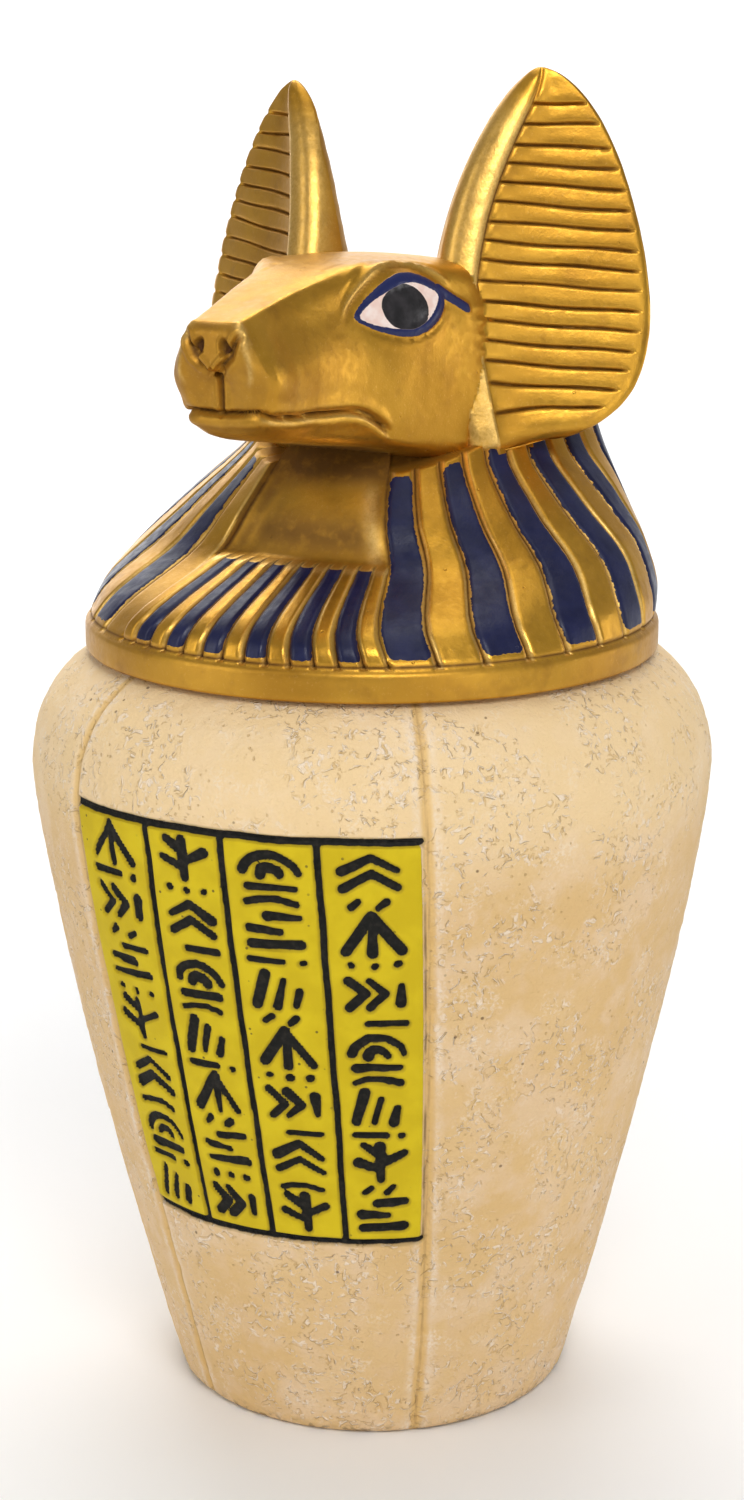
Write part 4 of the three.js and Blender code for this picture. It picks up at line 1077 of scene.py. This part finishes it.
PAINT_DEFAULTS = dict.fromkeys(("blue", "navy", "white", "iris"), OUTSIDE) | {"shade_and_wash": 0.0, "painted_highlight": 0.0}


def fuse(meshes):
    """One mesh from several closed ones; the faces left with many sides are split evenly."""
    objects = [new_object(mesh.name, mesh) for mesh in meshes]
    for other in objects[1:]:
        join = objects[0].modifiers.new("union", "BOOLEAN")
        join.operation = "UNION"
        join.solver = "MANIFOLD"
        join.object = other
    graph = bpy.context.evaluated_depsgraph_get()
    fused = bpy.data.meshes.new_from_object(objects[0].evaluated_get(graph))
    for o in objects:
        bpy.data.objects.remove(o)
    split = bmesh.new()
    split.from_mesh(fused)
    many_sided = [face for face in split.faces if len(face.verts) > 4]
    bmesh.ops.triangulate(split, faces=many_sided, ngon_method="BEAUTY")
    split.to_mesh(fused)
    split.free()
    return fused


def lid_piece():
    parts = [rim_part(), hood_part(), head_part(), ear_part(1), ear_part(-1)]
    points = np.concatenate([coordinates(mesh) for mesh, _ in parts])
    fused = fuse([mesh for mesh, _ in parts])
    tree = kdtree.KDTree(len(points))
    for i, co in enumerate(points):
        tree.insert(co, i)
    tree.balance()
    nearest = np.array([tree.find(v.co)[1] for v in fused.vertices])
    values = {}
    for name, default in PAINT_DEFAULTS.items():
        whole = [np.broadcast_to(paint.get(name, default), len(paint["shade_and_wash"])) for _, paint in parts]
        values[name] = np.concatenate(whole)[nearest]
    fused.name = "jackal_lid_paint"
    add_values(fused, values)
    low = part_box("jackal_lid")[0]
    finish_piece(fused, "jackal_lid_paint", (0, 0, low.z + SPIGOT_DEPTH * MM), LID_TURN,
                 lid_paint(), "jackal_lid", 48)


# ---- stage, in metres ----

CAMERA_TURN, CAMERA_DROP = math.radians(22), math.radians(14.37)
CAMERA_DISTANCE, CAMERA_HEIGHT = 0.5534, 0.274
SENSOR_WIDTH, LENS = 36, 67.2
FLOOR_FRONT, FLOOR_BACK, FLOOR_HALF_WIDTH = -3.0, 0.9, 4.0
FLOOR_CURVE, WALL_HEIGHT = 0.8, 3.0
WORLD_STRENGTH = 0.27
# name, place, width and height, power; these face the middle of the object
LIGHTS = [
    ("key", (0.42, -0.70, 0.80), (0.40, 0.40), 4.4), ("fill", (-0.65, -0.75, 0.45), (0.45, 0.8), 2.4),
    ("front_right", (0.90, -0.60, 0.18), (0.35, 0.6), 1.6), ("top", (0.0, 0.1, 1.1), (0.6, 0.6), 1.7),
    ("rim_right", (0.85, 0.50, 0.16), (0.3, 0.5), 1.1), ("rim_left", (-0.65, 0.65, 0.35), (0.3, 0.8), 0.8)]


def floor_paint():
    s = Shader("floor_paint")
    color = s.mix(s.patches(400, 2, 0.3, 0.7), (0.92, 0.92, 0.92), (0.95, 0.95, 0.95))
    rough = s.patches(300, 2, 0.3, 0.7, 0.6, 0.7)
    return s.finish(color, rough, 0.0, s.bump(s.noise(5), 0.02, 0.2))


def area_light(name, place, size, power, aim):
    light = bpy.data.lights.new(name, "AREA")
    light.shape = "RECTANGLE"
    light.size, light.size_y = size
    light.energy = power
    o = new_object(name, light)
    o.location = place
    o.rotation_euler = (Vector(aim) - Vector(place)).to_track_quat("-Z", "Y").to_euler()


def stage():
    low, high = cad_box
    profile = [(FLOOR_FRONT, 0.0), (FLOOR_BACK, 0.0)]
    profile += [(FLOOR_BACK + FLOOR_CURVE * math.sin(t), FLOOR_CURVE - FLOOR_CURVE * math.cos(t))
                for t in np.linspace(0.1, 1.57, 14)]
    profile.append((1.72, WALL_HEIGHT))
    verts = [(x, y, z + low.z) for y, z in profile for x in (-FLOOR_HALF_WIDTH, FLOOR_HALF_WIDTH)]
    faces = [(2 * k, 2 * k + 1, 2 * k + 3, 2 * k + 2) for k in range(len(profile) - 1)]
    mesh = bpy.data.meshes.new("studio_floor")
    mesh.from_pydata(verts, [], faces)
    mesh.shade_smooth()
    mesh.materials.append(floor_paint())
    floor = new_object("studio_floor", mesh)
    floor.rotation_euler.z = CAMERA_TURN
    world = bpy.data.worlds.new("studio")
    bpy.context.scene.world = world
    world.use_nodes = True
    background = world.node_tree.nodes["Background"]
    background.inputs["Color"].default_value = (1, 1, 1, 1)
    background.inputs["Strength"].default_value = WORLD_STRENGTH
    for light in LIGHTS:
        area_light(*light, (0, 0, (low.z + high.z) / 2))
    area_light("backdrop", (-0.45, 0.9, 1.5), (1.2, 0.6), 18, (-0.6, 1.5, 0.3))


def camera():
    data = bpy.data.cameras.new("camera")
    data.sensor_width = SENSOR_WIDTH
    data.lens = LENS
    data.clip_start, data.clip_end = 0.01, 20
    o = new_object("camera", data)
    o.location = (CAMERA_DISTANCE * math.sin(CAMERA_TURN), -CAMERA_DISTANCE * math.cos(CAMERA_TURN),
                  CAMERA_HEIGHT)
    o.rotation_euler = (math.pi / 2 - CAMERA_DROP, 0, CAMERA_TURN)
    bpy.context.scene.camera = o


camera()
stage()
jar_piece()
lid_piece()
bpy.context.scene.view_settings.view_transform = "Standard"
